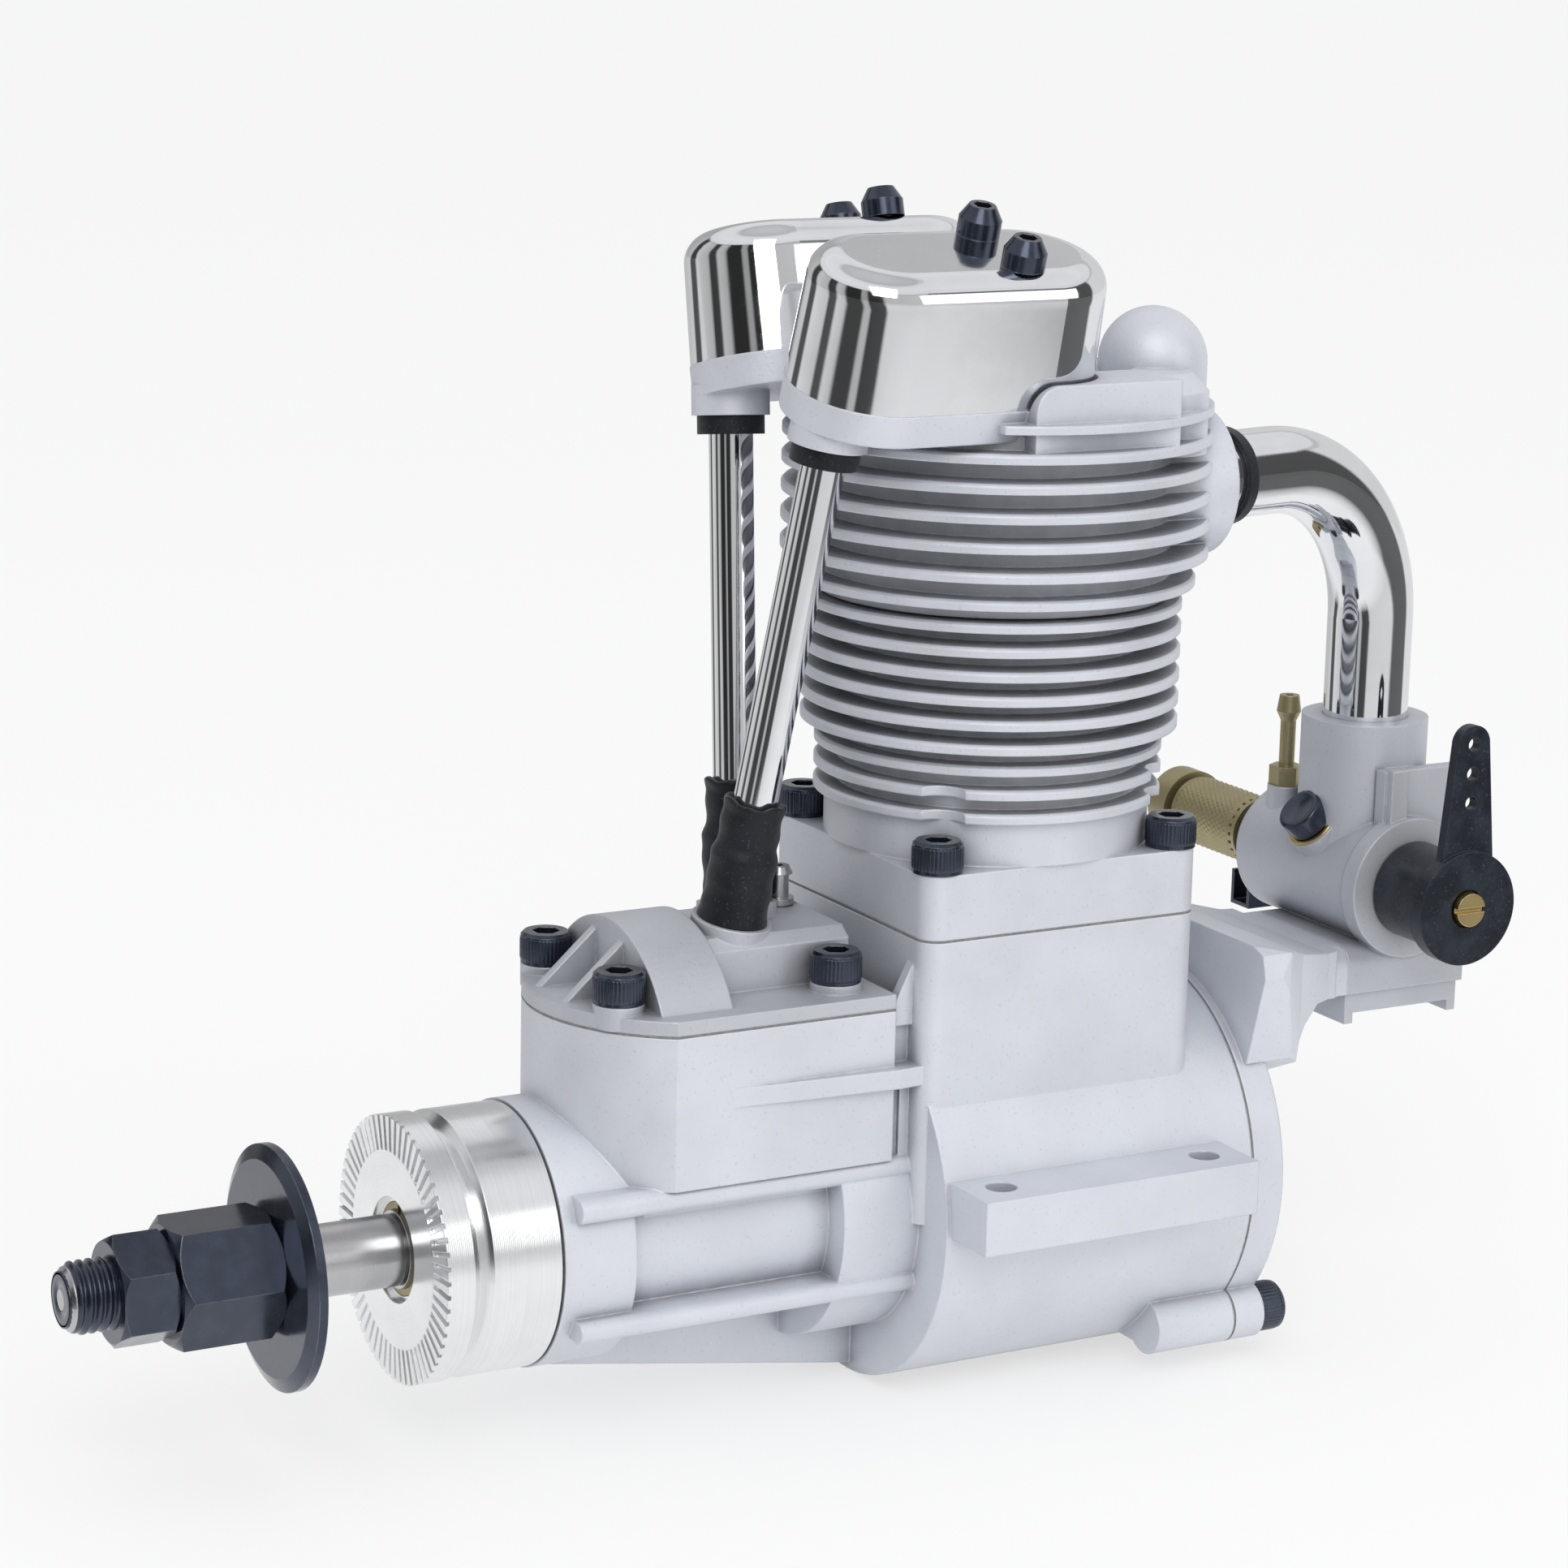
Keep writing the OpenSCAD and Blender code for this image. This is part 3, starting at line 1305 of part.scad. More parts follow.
module adjuster() {
  translate([0.4, rod_end_y, 0]) {
    translate([0, 0, rod_tip_w + lash]) cylinder(h = pivot_w + 3.8 - rod_tip_w - lash, r = 1.2);
    translate([0, 0, pivot_w + 2.05])
      difference() {
        cylinder(h = 1.3, r = 2.2, $fn = 6);
        translate([0, 0, -1]) cylinder(h = 4, r = 1.1);
      }
  }
}

module intake_adjuster() color(dark_col) engine() bank(1) adjuster();

module exhaust_adjuster() color(dark_col) engine() bank(-1) adjuster();

module rocker_shafts() color(steel_col) engine()
  for (s = [-1, 1])
    bank(s) {
      xcyl(1.5, -6.4, 6.4, pivot_y, pivot_w);
      for (k = [-1, 1])
        difference() {
          translate([k > 0 ? 3 : -5.4, pivot_y - 2.3, floor_w])
            cube([2.4, 4.6, pivot_w + 2.2 - floor_w]);
          xcyl(1.52, -8, 8, pivot_y, pivot_w);
        }
    }

// ---------------------------------------------------------------- rocker covers

module cover_half_section(r, h, e, draft) {
  polygon([[0, 0], [r, 0], [r - draft, h - e], [r - draft - e, h], [0, h]]);
  translate([r - draft - e, h - e]) circle(r = e);
}

module cover_shell(r, h, e, draft) {
  for (c = [box_c0, box_c1])
    translate([0, c, 0])
      rotate_extrude()
        intersection() {
          cover_half_section(r, h, e, draft);
          square([r + 1, h + 1]);
        }
  xz_extrude(box_c0, box_c1)
    intersection() {
      union() {
        cover_half_section(r, h, e, draft);
        mirror([1, 0]) cover_half_section(r, h, e, draft);
      }
      translate([-r - 1, 0]) square([2 * r + 2, h + 1]);
    }
}

module rocker_cover() {
  difference() {
    cover_shell(box_r - 0.1, cover_h, cover_edge, 0.5);
    translate([0, 0, -eps])
      cover_shell(box_r - 0.1 - cover_wall, cover_h - cover_wall, cover_edge - cover_wall + 0.4, 0.5);
    for (k = [-1, 1])
      translate([k * cover_scr_x, cover_scr_y, 4]) cylinder(h = 20, r = 1.4);
  }
}

module intake_rocker_cover() color(chrome_col) engine() bank(1) rocker_cover();

module exhaust_rocker_cover() color(chrome_col) engine() bank(-1) rocker_cover();

module rocker_cover_screws() color(dark_col) engine()
  for (s = [-1, 1])
    bank(s)
      for (k = [-1, 1])
        translate([k * cover_scr_x, cover_scr_y, cover_h])
          difference() {
            union() {
              cylinder(h = 1.9, r = 2.4);
              translate([0, 0, 1.9 - eps]) cylinder(h = 1.5, r1 = 2.4, r2 = 1.5);
              translate([0, 0, -cover_h - 8]) cylinder(h = cover_h + 8 + eps, r = 1.25);
            }
            translate([0, 0, 1.6]) cylinder(h = 4, r = 1.1, $fn = 6);
          }

// ---------------------------------------------------------------- inlet side

module elbow(r) {
  // vertical leg at the origin, bend, then a leg towards -Y
  translate([0, 0, socket_floor]) cylinder(h = port_z - bend_r - socket_floor, r = r);
  translate([0, -bend_r, port_z - bend_r])
    rotate([90, 0, 90])
      rotate_extrude(angle = 90)
        translate([bend_r, 0]) circle(r = r);
  ycyl(r, -port_reach + 0.2, -bend_r, 0, port_z);
}

module intake_manifold() color(chrome_col) engine()
  translate([0, carb_y, 0])
    rotate([0, 0, manifold_ang])
      difference() {
        elbow(manifold_r);
        elbow(manifold_r - manifold_wall);
        translate([0, 0, socket_floor - 1]) cylinder(h = 2, r = manifold_r - manifold_wall);
        ycyl(manifold_r - manifold_wall, -port_reach - 1, -port_reach + 1, 0, port_z);
      }

module manifold_seal() color(dark_col) engine()
  translate([0, carb_y, port_z])
    rotate([0, 0, manifold_ang])
      difference() {
        ycyl(manifold_r + 0.6, -port_reach + 5.2, -port_reach + 6.6);
        ycyl(manifold_r + 0.03, -port_reach, -port_reach + 9);
      }

module idle_place() {
  translate([0, carb_y, carb_z])
    rotate([48, 0, 0])
      children();
}

module carburettor_body() color(cast_col) engine()
  difference() {
    union() {
      xcyl(carb_r + 0.1, carb_x0, carb_x1, carb_y, carb_z);
      xcyl(carb_r + 0.5, carb_x1 - 2.6, carb_x1, carb_y, carb_z);
      xcyl(carb_r - 1, carb_x0 - 1.6, carb_x0 + 1, carb_y, carb_z);
      translate([0, carb_y, carb_z]) cylinder(h = socket_top - carb_z, r = socket_r);
      xz_extrude(arm_joint, carb_y + 8.6) arm_section();
      // stop plate beside the socket
      translate([7.4, carb_y - 3.4, 30]) cube([1.8, 12, 14.3]);
      translate([9, carb_y - 3, 37]) cube([1.2, 2.3, 7.5]);
      // air box below the base
      translate([-10, arm_joint + 0.2, 15.3]) cube([20, 16.4, 4]);
      translate([-10, arm_joint + 0.2, 14]) cube([20, 1.2, 2]);
      translate([-10, arm_joint + 15.4, 14]) cube([20, 1.2, 2]);
      idle_place() cylinder(h = carb_r + 1.4, r = 3.6);
      translate([-10.6, 49.8, carb_z]) cylinder(h = 8.6, r = 2.2);
    }
    // manifold socket, air passage and barrel bore
    translate([0, carb_y, socket_floor]) cylinder(h = 20, r = manifold_r + 0.03);
    translate([0, carb_y, 10]) cylinder(h = 35, r = 4.2);
    xcyl(throttle_r + 0.04, carb_x0 + 1.4, carb_x1 + 1, carb_y, carb_z);
    xcyl(2.04, carb_x0 - 4, carb_x0 + 3, carb_y, carb_z);
    translate([-8.8, arm_joint + 1.4, 13]) cube([17.6, 14, 4.4]);
    idle_place() {
      cylinder(h = 20, r = 1.25);
      translate([0, 0, carb_r + 0.6]) cylinder(h = 4, r = 2.6);
    }
    translate([-10.6, 49.8, carb_z + 4]) cylinder(h = 6, r = 1.25);
    for (s = [-1, 1])
      ycyl(1.05, arm_joint - 1, arm_joint + 5, s * 7.6, 20.7);
  }

barrel_x0 = carb_x0 + 1.8;

module throttle_barrel() color(brass_col) engine()
  difference() {
    union() {
      xcyl(throttle_r, barrel_x0, carb_x1 + 0.3, carb_y, carb_z);
    }
    translate([0, carb_y, carb_z - 10]) cylinder(h = 20, r = 3.9);
    xcyl(1.6, barrel_x0 - 1, carb_x1 - 13, carb_y, carb_z);
    xcyl(1.25, carb_x1 - 5, carb_x1 + 1, carb_y, carb_z);
  }

module arm2d() {
  polygon([[-4, 2], [4, 2], [2.3, arm_len], [-2.3, arm_len]]);
  translate([0, arm_len]) circle(r = 2.3);
}

module throttle_arm() color(dark_col) engine()
  translate([0, carb_y, carb_z])
    difference() {
      union() {
        xcyl(throttle_r + 0.3, carb_x1 + 0.3, 20);
        yz_extrude(19.6, 21.8) circle(r = disc_r);
        yz_extrude(20.05, 21.35) arm2d();
      }
      xcyl(1.24, 0, 30);
      xcyl(2.3, 21, 30);
      for (i = [0 : 2])
        xcyl(link_d / 2, 15, 25, 0, arm_len - 3.5 * i);
    }

module throttle_arm_screw() color(brass_col) engine()
  translate([0, carb_y, carb_z])
    difference() {
      union() {
        xcyl(2, 21, 22.6);
        xcyl(1.2, carb_x1 - 4, 21.2);
      }
      translate([22, -3, -0.3]) cube([2, 6, 0.6]);
    }

module needle_seat() color(brass_col) engine()
  translate([0, carb_y, carb_z])
    difference() {
      union() {
        xcyl(2, carb_x0 - 7.6, carb_x0 - 0.4);
        xcyl(3.2, carb_x0 - 4.6, carb_x0 - 1.6);
      }
      xcyl(0.9, carb_x0 - 9, carb_x0 + 1);
    }

module needle_valve() color(brass_col) engine()
  translate([0, carb_y, carb_z])
    difference() {
      union() {
        xcyl(4.2, carb_x0 - 20.4, carb_x0 - 6.4);
        xcyl(3.3, carb_x0 - 21.4, carb_x0 - 20);
        xcyl(4.7, carb_x0 - 25, carb_x0 - 21.4);
      }
      xcyl(2.04, carb_x0 - 12, carb_x0 - 6);
      for (k = [0 : 23])
        rotate([k * 15, 0, 0])
          translate([carb_x0 - 19.6, -0.2, 3.95]) cube([12.6, 0.4, 1]);
    }

module ratchet_spring() color(dark_col) engine()
  translate([carb_x0 - 5.4, carb_y, carb_z]) {
    difference() {
      union() {
        xcyl(3.4, 0, 0.5);
        translate([0, -2.4, -9.4]) cube([0.5, 4.8, 9]);
      }
      xcyl(2.03, -1, 2);
    }
    translate([-3.4, -2.4, -9.4]) cube([3.6, 4.8, 0.5]);
    translate([-3.4, -2.4, -9.4]) cube([0.5, 4.8, 4.4]);
  }

module fuel_nipple() color(steel_col) engine()
  translate([-10.6, 49.8, carb_z + 8.6])
    difference() {
      union() {
        translate([0, 0, -3]) cylinder(h = 4, r = 1.2);
        cylinder(h = 2.4, r = 2.1, $fn = 6);
        cylinder(h = 10.6, r = 0.95);
        translate([0, 0, 8]) cylinder(h = 1.2, r1 = 0.95, r2 = 1.5);
        translate([0, 0, 9.2]) cylinder(h = 2, r1 = 1.5, r2 = 1.2);
      }
      translate([0, 0, -4]) cylinder(h = 20, r = 0.5);
    }

module idle_screw() color(dark_col) engine()
  idle_place()
    difference() {
      union() {
        translate([0, 0, carb_r + 0.6]) cylinder(h = 3.2, r = 2.45);
        translate([0, 0, throttle_r + 0.6]) cylinder(h = carb_r - throttle_r + 0.2, r = 1.2);
      }
      translate([-3, -0.3, carb_r + 3]) cube([6, 0.6, 2]);
    }

crankcase();
rear_cover();
rear_cover_gasket();
rear_cover_screws();
front_bearing();
rear_bearing();
crankshaft();
taper_collet();
drive_washer();
prop_washer();
prop_nut();
lock_nut();
cam_cover();
cam_cover_gasket();
cam_cover_screws();
breather_nipple();
cam_axle();
camshaft();
guides();
intake_tappet();
exhaust_tappet();
intake_pushrod();
exhaust_pushrod();
pushrod_boots();
pushrod_tubes();
pushrod_grommets();
cylinder_part();  // cylinder
cylinder_gasket();
cylinder_screws();
glow_plug();
intake_valve();
exhaust_valve();
intake_spring();
exhaust_spring();
intake_retainer();
exhaust_retainer();
intake_rocker();
exhaust_rocker();
intake_adjuster();
exhaust_adjuster();
rocker_shafts();
intake_rocker_cover();
exhaust_rocker_cover();
rocker_cover_screws();
piston();
piston_ring();
gudgeon_pin();
connecting_rod();
crank_pin();
intake_manifold();
manifold_seal();
carburettor_body();
throttle_barrel();
throttle_arm();
throttle_arm_screw();
needle_seat();
needle_valve();
ratchet_spring();
fuel_nipple();
idle_screw();
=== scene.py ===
"""Looks of a four-stroke model aircraft engine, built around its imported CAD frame.

Lengths are in metres in the frame of the CAD part: the crankshaft lies along Y with
the propeller at -Y, the cylinder stands along +Z, and the origin is the centre of the
four beam bolt holes. Each new piece is a surface worked out with numpy.
"""

import json
import math

import bpy
import numpy as np
from bpy.props import FloatProperty, FloatVectorProperty, IntProperty, PointerProperty
from bpy.types import Operator, Panel, PropertyGroup
from mathutils import Matrix, Vector


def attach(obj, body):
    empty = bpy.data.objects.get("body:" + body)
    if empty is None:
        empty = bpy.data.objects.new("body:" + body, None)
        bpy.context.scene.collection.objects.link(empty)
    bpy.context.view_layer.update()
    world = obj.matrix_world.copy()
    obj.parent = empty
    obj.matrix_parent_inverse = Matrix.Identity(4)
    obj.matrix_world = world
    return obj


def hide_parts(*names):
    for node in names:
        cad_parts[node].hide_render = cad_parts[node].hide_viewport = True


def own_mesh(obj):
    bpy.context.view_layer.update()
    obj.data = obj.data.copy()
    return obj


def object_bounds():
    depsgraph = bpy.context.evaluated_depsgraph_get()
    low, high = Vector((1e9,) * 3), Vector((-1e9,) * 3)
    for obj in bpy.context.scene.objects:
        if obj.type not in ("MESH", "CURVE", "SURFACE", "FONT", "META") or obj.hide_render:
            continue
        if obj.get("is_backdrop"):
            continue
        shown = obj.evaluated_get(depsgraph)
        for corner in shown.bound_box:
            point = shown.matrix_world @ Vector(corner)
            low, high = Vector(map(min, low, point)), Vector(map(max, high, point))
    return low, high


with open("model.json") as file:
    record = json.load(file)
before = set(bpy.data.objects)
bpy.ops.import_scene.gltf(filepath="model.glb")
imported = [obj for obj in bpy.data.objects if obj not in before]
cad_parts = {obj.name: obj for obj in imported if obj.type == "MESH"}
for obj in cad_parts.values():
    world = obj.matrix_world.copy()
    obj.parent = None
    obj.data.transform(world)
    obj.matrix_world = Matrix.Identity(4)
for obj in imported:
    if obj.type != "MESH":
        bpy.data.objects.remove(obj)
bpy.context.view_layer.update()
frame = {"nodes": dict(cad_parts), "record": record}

bl_info = {
    "name": "Model aircraft engine looks",
    "version": (1, 0, 0),
    "blender": (4, 5, 0),
    "location": "3D View > Sidebar > Engine",
    "description": "Finishes, threads, knurls, springs and boots of a model engine",
    "category": "Object",
}

MM = 0.001
AHEAD = -1.5 * MM  # the cylinder axis lies this far along Y from the origin
CARB = (0, 51.9 * MM, 30.2 * MM)  # centre of the throttle barrel, whose axis lies along X
CARB_AXIS_TURN = (0, 0, math.pi / 2)  # turns the throttle barrel's axis onto Y
BANK_TILT = math.radians(15.5)  # lean of a rocker box
BANK_AT = (11.0 * MM, 94.1 * MM)  # its joint centre, sideways and up
VALVE_AHEAD = 3.1 * MM  # the valve lies this far ahead of the joint centre
IDLE_LEAN = math.radians(48)  # forward lean of the idle screw's axis
THREAD = (87.4 * MM, 111.8 * MM)  # start and tip of the thread ahead of the cylinder axis
HEAD_RADIUS = 2.83 * MM  # cap screw heads, under their ridges
HEAD_SPAN = (0.35 * MM, 3.1 * MM)  # heights of the ridges on a head
TARNISHED = ("needle_valve", "needle_seat", "fuel_nipple", "taper_collet")
# castings whose colour is scaled to 0.8: painted shade on the carburettor body and cam cover
SHADE_PAINTED_CAST = ("carburettor_body", "cam_cover")


# ------------------------------------------------------------------ settings


def length(name, description, value, low=0.0):
    """A float property in metres."""
    return FloatProperty(
        name=name, description=description, default=value, min=low, unit="LENGTH", precision=5
    )


def tint(name, description, value):
    """A colour property."""
    return FloatVectorProperty(
        name=name, description=description, default=value, size=3, min=0, max=1, subtype="COLOR"
    )


class EngineSizes(PropertyGroup):
    """Sizes of the pieces that this script adds to the CAD nodes."""

    thread_pitch: length("Thread pitch", "Rise of the propeller thread in one turn", 1.06 * MM)
    thread_crest: length("Thread crest", "Radius over the crests of the thread", 3.97 * MM)
    thread_root: length("Thread root", "Radius at the roots of the thread", 3.47 * MM)
    head_ridges: IntProperty(
        name="Screw ridges", description="Grip ridges round a cap screw head", default=40, min=12
    )
    ridge_depth: length("Ridge depth", "Height of a grip ridge on a screw head", 0.11 * MM)
    spring_turns: FloatProperty(
        name="Spring turns", description="Turns of a valve spring", default=5.5, min=2
    )
    spring_wire: length("Spring wire", "Diameter of the valve spring wire", 0.8 * MM)
    boot_ripple: length("Boot ripple", "Depth of the ripples in a rubber boot", 0.13 * MM)
    knurl_depth: length("Knurl depth", "Depth of the knurl on the needle knob", 0.14 * MM)
    edge_radius: length("Edge radius", "Radius that softens the cast edges", 0.35 * MM)


class EngineColours(PropertyGroup):
    """Colours of the finishes."""

    cast: tint("Casting", "Blasted aluminium casting", (0.68, 0.7, 0.752))
    machined: tint("Turned aluminium", "Bright turned aluminium", (0.86, 0.87, 0.88))
    chrome: tint("Chrome", "Bright chrome plate", (0.83, 0.84, 0.86))
    steel: tint("Steel", "Ground steel", (0.52, 0.52, 0.53))
    black_steel: tint("Black steel", "Oil-blackened steel", (0.045, 0.055, 0.082))
    brass: tint("Brass", "Turned brass", (0.6, 0.47, 0.22))
    tarnish: tint("Tarnished brass", "Dull olive-brown brass", (0.4, 0.35, 0.2))
    rubber: tint("Rubber", "Black rubber", (0.006, 0.007, 0.011))
    plastic: tint("Plastic", "Moulded black plastic", (0.009, 0.012, 0.019))
    paper: tint("Gasket paper", "Pressed fibre gasket", (0.2, 0.2, 0.2))
    iron: tint("Ring iron", "Lapped cast iron", (0.3, 0.3, 0.31))
    floor: tint("Floor", "Pale studio floor", (0.9, 0.9, 0.9))


class EngineStage(PropertyGroup):
    """Light and camera of the studio."""

    lens: FloatProperty(
        name="Lens", description="Focal length on a 36 mm sensor", default=96.83, min=20
    )
    sky: FloatProperty(
        name="Sky", description="Strength of the light all round", default=0.88, min=0
    )
    key: FloatProperty(name="Key", description="Power of the large front light", default=3.4)
    fill: FloatProperty(name="Fill", description="Power of the side light", default=1.0)


def sizes():
    """The scene's piece sizes."""
    return bpy.context.scene.engine_sizes


def colours():
    """The scene's finish colours."""
    return bpy.context.scene.engine_colours


# ------------------------------------------------------------------ surfaces


def mesh_object(name, points, quads, fans=()):
    """A mesh object from a (n, 3) array of points, a (k, 4) array of quads and lists of fans."""
    mesh = bpy.data.meshes.new(name)
    loops = np.concatenate([quads.ravel(), *[f.ravel() for f in fans]]).astype(np.int32)
    counts = np.concatenate(
        [np.full(len(quads), 4), *[np.full(len(f), 3) for f in fans]]
    ).astype(np.int32)
    starts = np.concatenate([[0], np.cumsum(counts)[:-1]]).astype(np.int32)
    mesh.vertices.add(len(points))
    mesh.vertices.foreach_set("co", np.asarray(points, np.float32).ravel())
    mesh.loops.add(len(loops))
    mesh.loops.foreach_set("vertex_index", loops)
    mesh.polygons.add(len(counts))
    mesh.polygons.foreach_set("loop_start", starts)
    mesh.polygons.foreach_set("use_smooth", np.ones(len(counts), bool))
    mesh.update(calc_edges=True)
    mesh.validate()
    made = bpy.data.objects.new(name, mesh)
    bpy.context.scene.collection.objects.link(made)
    return made


def grid_quads(rows, columns, closed_rows):
    """Quads of a grid whose columns wrap round, and whose rows wrap round if closed_rows.

    Point (i, j) has index i * columns + j. A quad joins (i, j), (i, j + 1), (i + 1, j + 1)
    and (i + 1, j), with i + 1 and j + 1 taken modulo the grid where it wraps.
    """
    i = np.arange(rows if closed_rows else rows - 1)[:, None]
    j = np.arange(columns)[None, :]
    after, side = (i + 1) % rows, (j + 1) % columns
    corners = [i * columns + j, i * columns + side, after * columns + side, after * columns + j]
    return np.stack(np.broadcast_arrays(*corners), -1).reshape(-1, 4)


def end_fans(rows, columns, first, last):
    """Triangles that close both ends of a tube round the points first and last."""
    j = np.arange(columns)
    side = (j + 1) % columns
    base = (rows - 1) * columns
    start = np.stack([np.full(columns, first), side, j], -1)
    end = np.stack([np.full(columns, last), base + j, base + side], -1)
    return [start, end]


def closed_loops(name, grids):
    """One object from several grids that wrap round both ways, such as rings."""
    points, quads, offset = [], [], 0
    for grid in grids:
        rows, columns = grid.shape[:2]
        points.append(grid.reshape(-1, 3))
        quads.append(grid_quads(rows, columns, True) + offset)
        offset += rows * columns
    return mesh_object(name, np.concatenate(points), np.concatenate(quads))


def capped_tube(name, grid):
    """One object from a grid that wraps round, closed at both ends by fans."""
    rows, columns = grid.shape[:2]
    points = np.concatenate([grid.reshape(-1, 3), grid[:1].mean(1), grid[-1:].mean(1)])
    total = rows * columns
    return mesh_object(
        name, points, grid_quads(rows, columns, False), end_fans(rows, columns, total, total + 1)
    )


def turned(profile_radius, profile_height, columns, origin, axis, side):
    """Points of a profile turned about an axis: rows follow the profile, columns the angle.

    A point is origin + height * axis + radius * (cos t * side + sin t * (axis x side)).
    profile_radius may be (rows,) or (rows, columns), so that it can vary with the angle.
    """
    axis, side = np.asarray(axis, float), np.asarray(side, float)
    axis /= np.linalg.norm(axis)
    side = side - axis * (side @ axis)
    side /= np.linalg.norm(side)
    across = np.cross(axis, side)
    t = np.linspace(0, 2 * np.pi, columns, endpoint=False)
    radius = np.asarray(profile_radius, float)
    if radius.ndim == 1:
        radius = np.repeat(radius[:, None], columns, 1)
    height = np.asarray(profile_height, float)
    if height.ndim == 1:
        height = np.repeat(height[:, None], columns, 1)
    around = np.cos(t)[None, :, None] * side + np.sin(t)[None, :, None] * across
    return np.asarray(origin, float) + height[..., None] * axis + radius[..., None] * around


def smooth(x, low, high):
    """0 below low, 1 above high, with an even S between them."""
    t = np.clip((x - low) / (high - low), 0, 1)
    return t * t * (3 - 2 * t)


def triangle_wave(x):
    """A wave of period 1 that rises from 0 to 1 and falls back."""
    return 1 - np.abs((x % 1) * 2 - 1)


def dress(piece, body, finish, replaces=()):
    """Gives a piece its finish, material slot and body, and hides the nodes it stands for."""
    piece.data.materials.clear()
    piece.data.materials.append(bpy.data.materials[finish])
    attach(piece, body)
    if replaces:
        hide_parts(*replaces)
    return piece


# ------------------------------------------------------------------ shader parts


def put(tree, kind, sockets=None, **settings):
    """Adds a node, sets its properties, and sets or links its inputs by name or number."""
    made = tree.nodes.new(kind)
    for key, value in settings.items():
        setattr(made, key, value)
    for key, value in (sockets or {}).items():
        if isinstance(value, bpy.types.NodeSocket):
            tree.links.new(value, made.inputs[key])
        else:
            made.inputs[key].default_value = value
    return made


def maths(tree, operation, first, second=0.0, clamp=False):
    """A Math node's output."""
    return put(
        tree, "ShaderNodeMath", {0: first, 1: second}, operation=operation, use_clamp=clamp
    ).outputs[0]


def between(tree, value, low, high, to_low=0.0, to_high=1.0):
    """Maps value from low..high to to_low..to_high, clamped."""
    sockets = {
        "Value": value,
        "From Min": low,
        "From Max": high,
        "To Min": to_low,
        "To Max": to_high,
    }
    return put(tree, "ShaderNodeMapRange", sockets, clamp=True).outputs[0]


def mixed(tree, share, first, second):
    """A colour between first and second."""
    made = put(tree, "ShaderNodeMix", data_type="RGBA")
    for socket, value in zip(
        (made.inputs["Factor"], made.inputs[6], made.inputs[7]), (share, first, second)
    ):
        if isinstance(value, bpy.types.NodeSocket):
            tree.links.new(value, socket)
        else:
            socket.default_value = value
    return made.outputs[2]


def noise(tree, vector, scale, detail=2.0, rough=0.5):
    """A noise texture's value on the given coordinates."""
    sockets = {"Vector": vector, "Scale": scale, "Detail": detail, "Roughness": rough}
    return put(tree, "ShaderNodeTexNoise", sockets).outputs["Fac"]


def shared_group(name, inputs, outputs, build):
    """A shader node group with named sockets, built once."""
    found = bpy.data.node_groups.get(name)
    if found:
        return found
    tree = bpy.data.node_groups.new(name, "ShaderNodeTree")
    for label, kind, value in inputs:
        socket = tree.interface.new_socket(label, in_out="INPUT", socket_type=kind)
        if value is not None:
            socket.default_value = value
    for label, kind in outputs:
        tree.interface.new_socket(label, in_out="OUTPUT", socket_type=kind)
    source = tree.nodes.new("NodeGroupInput")
    sink = tree.nodes.new("NodeGroupOutput")
    for label, result in build(tree, source.outputs).items():
        tree.links.new(result, sink.inputs[label])
    return tree


def build_casting(tree, given):
    """Blasted casting skin: fine pits, broad mottling and a few dark specks."""
    at = put(tree, "ShaderNodeTexCoord").outputs["Object"]
    pits = noise(tree, at, given["Grain scale"], 3.0, 0.6)
    broad = noise(tree, at, given["Mottle scale"], 3.0, 0.55)
    cells = put(
        tree, "ShaderNodeTexVoronoi", {"Vector": at, "Scale": given["Grain scale"]}
    ).outputs["Distance"]
    height = maths(tree, "ADD", pits, maths(tree, "MULTIPLY", cells, 0.35))
    specks = between(tree, noise(tree, at, 2600.0, 1.0), 0.66, 0.74)
    return {"Height": height, "Mottle": between(tree, broad, 0.3, 0.7), "Specks": specks}


def casting_group():
    """The shared casting skin."""
    return shared_group(
        "casting_skin",
        [("Grain scale", "NodeSocketFloat", 2400.0), ("Mottle scale", "NodeSocketFloat", 90.0)],
        [(n, "NodeSocketFloat") for n in ("Height", "Mottle", "Specks")],
        build_casting,
    )


def build_edges(tree, given):
    """Rounds edges for the light and marks them: the mask grows where both normals differ."""
    soft = put(tree, "ShaderNodeBevel", {"Radius": given["Radius"]}, samples=6).outputs[0]
    flat = put(tree, "ShaderNodeNewGeometry").outputs["Normal"]
    same = put(tree, "ShaderNodeVectorMath", {0: soft, 1: flat}, operation="DOT_PRODUCT")
    turn = maths(tree, "SUBTRACT", 1.0, same.outputs["Value"])
    at = put(tree, "ShaderNodeTexCoord").outputs["Object"]
    patchy = between(tree, noise(tree, at, 900.0, 3.0), 0.35, 0.65, 0.35, 1.0)
    worn = maths(tree, "MULTIPLY", between(tree, turn, 0.01, 0.16), patchy)
    return {"Normal": soft, "Edge": worn}


def edge_group():
    """The shared soft edge and edge wear."""
    return shared_group(
        "soft_edges",
        [("Radius", "NodeSocketFloat", 0.0003)],
        [("Normal", "NodeSocketVector"), ("Edge", "NodeSocketFloat")],
        build_edges,
    )


def build_crevices(tree, given):
    """Painted shade in gaps from ambient occlusion: 1 deep between fins and in corners, 0 on open
    faces.
    """
    open_share = put(
        tree, "ShaderNodeAmbientOcclusion", {"Distance": given["Reach"]}, samples=6
    ).outputs["AO"]
    at = put(tree, "ShaderNodeTexCoord").outputs["Object"]
    patchy = between(tree, noise(tree, at, 500.0, 3.0), 0.3, 0.7, 0.75, 1.0)
    return {"Painted shade": maths(tree, "MULTIPLY", between(tree, open_share, 0.75, 0.2), patchy)}


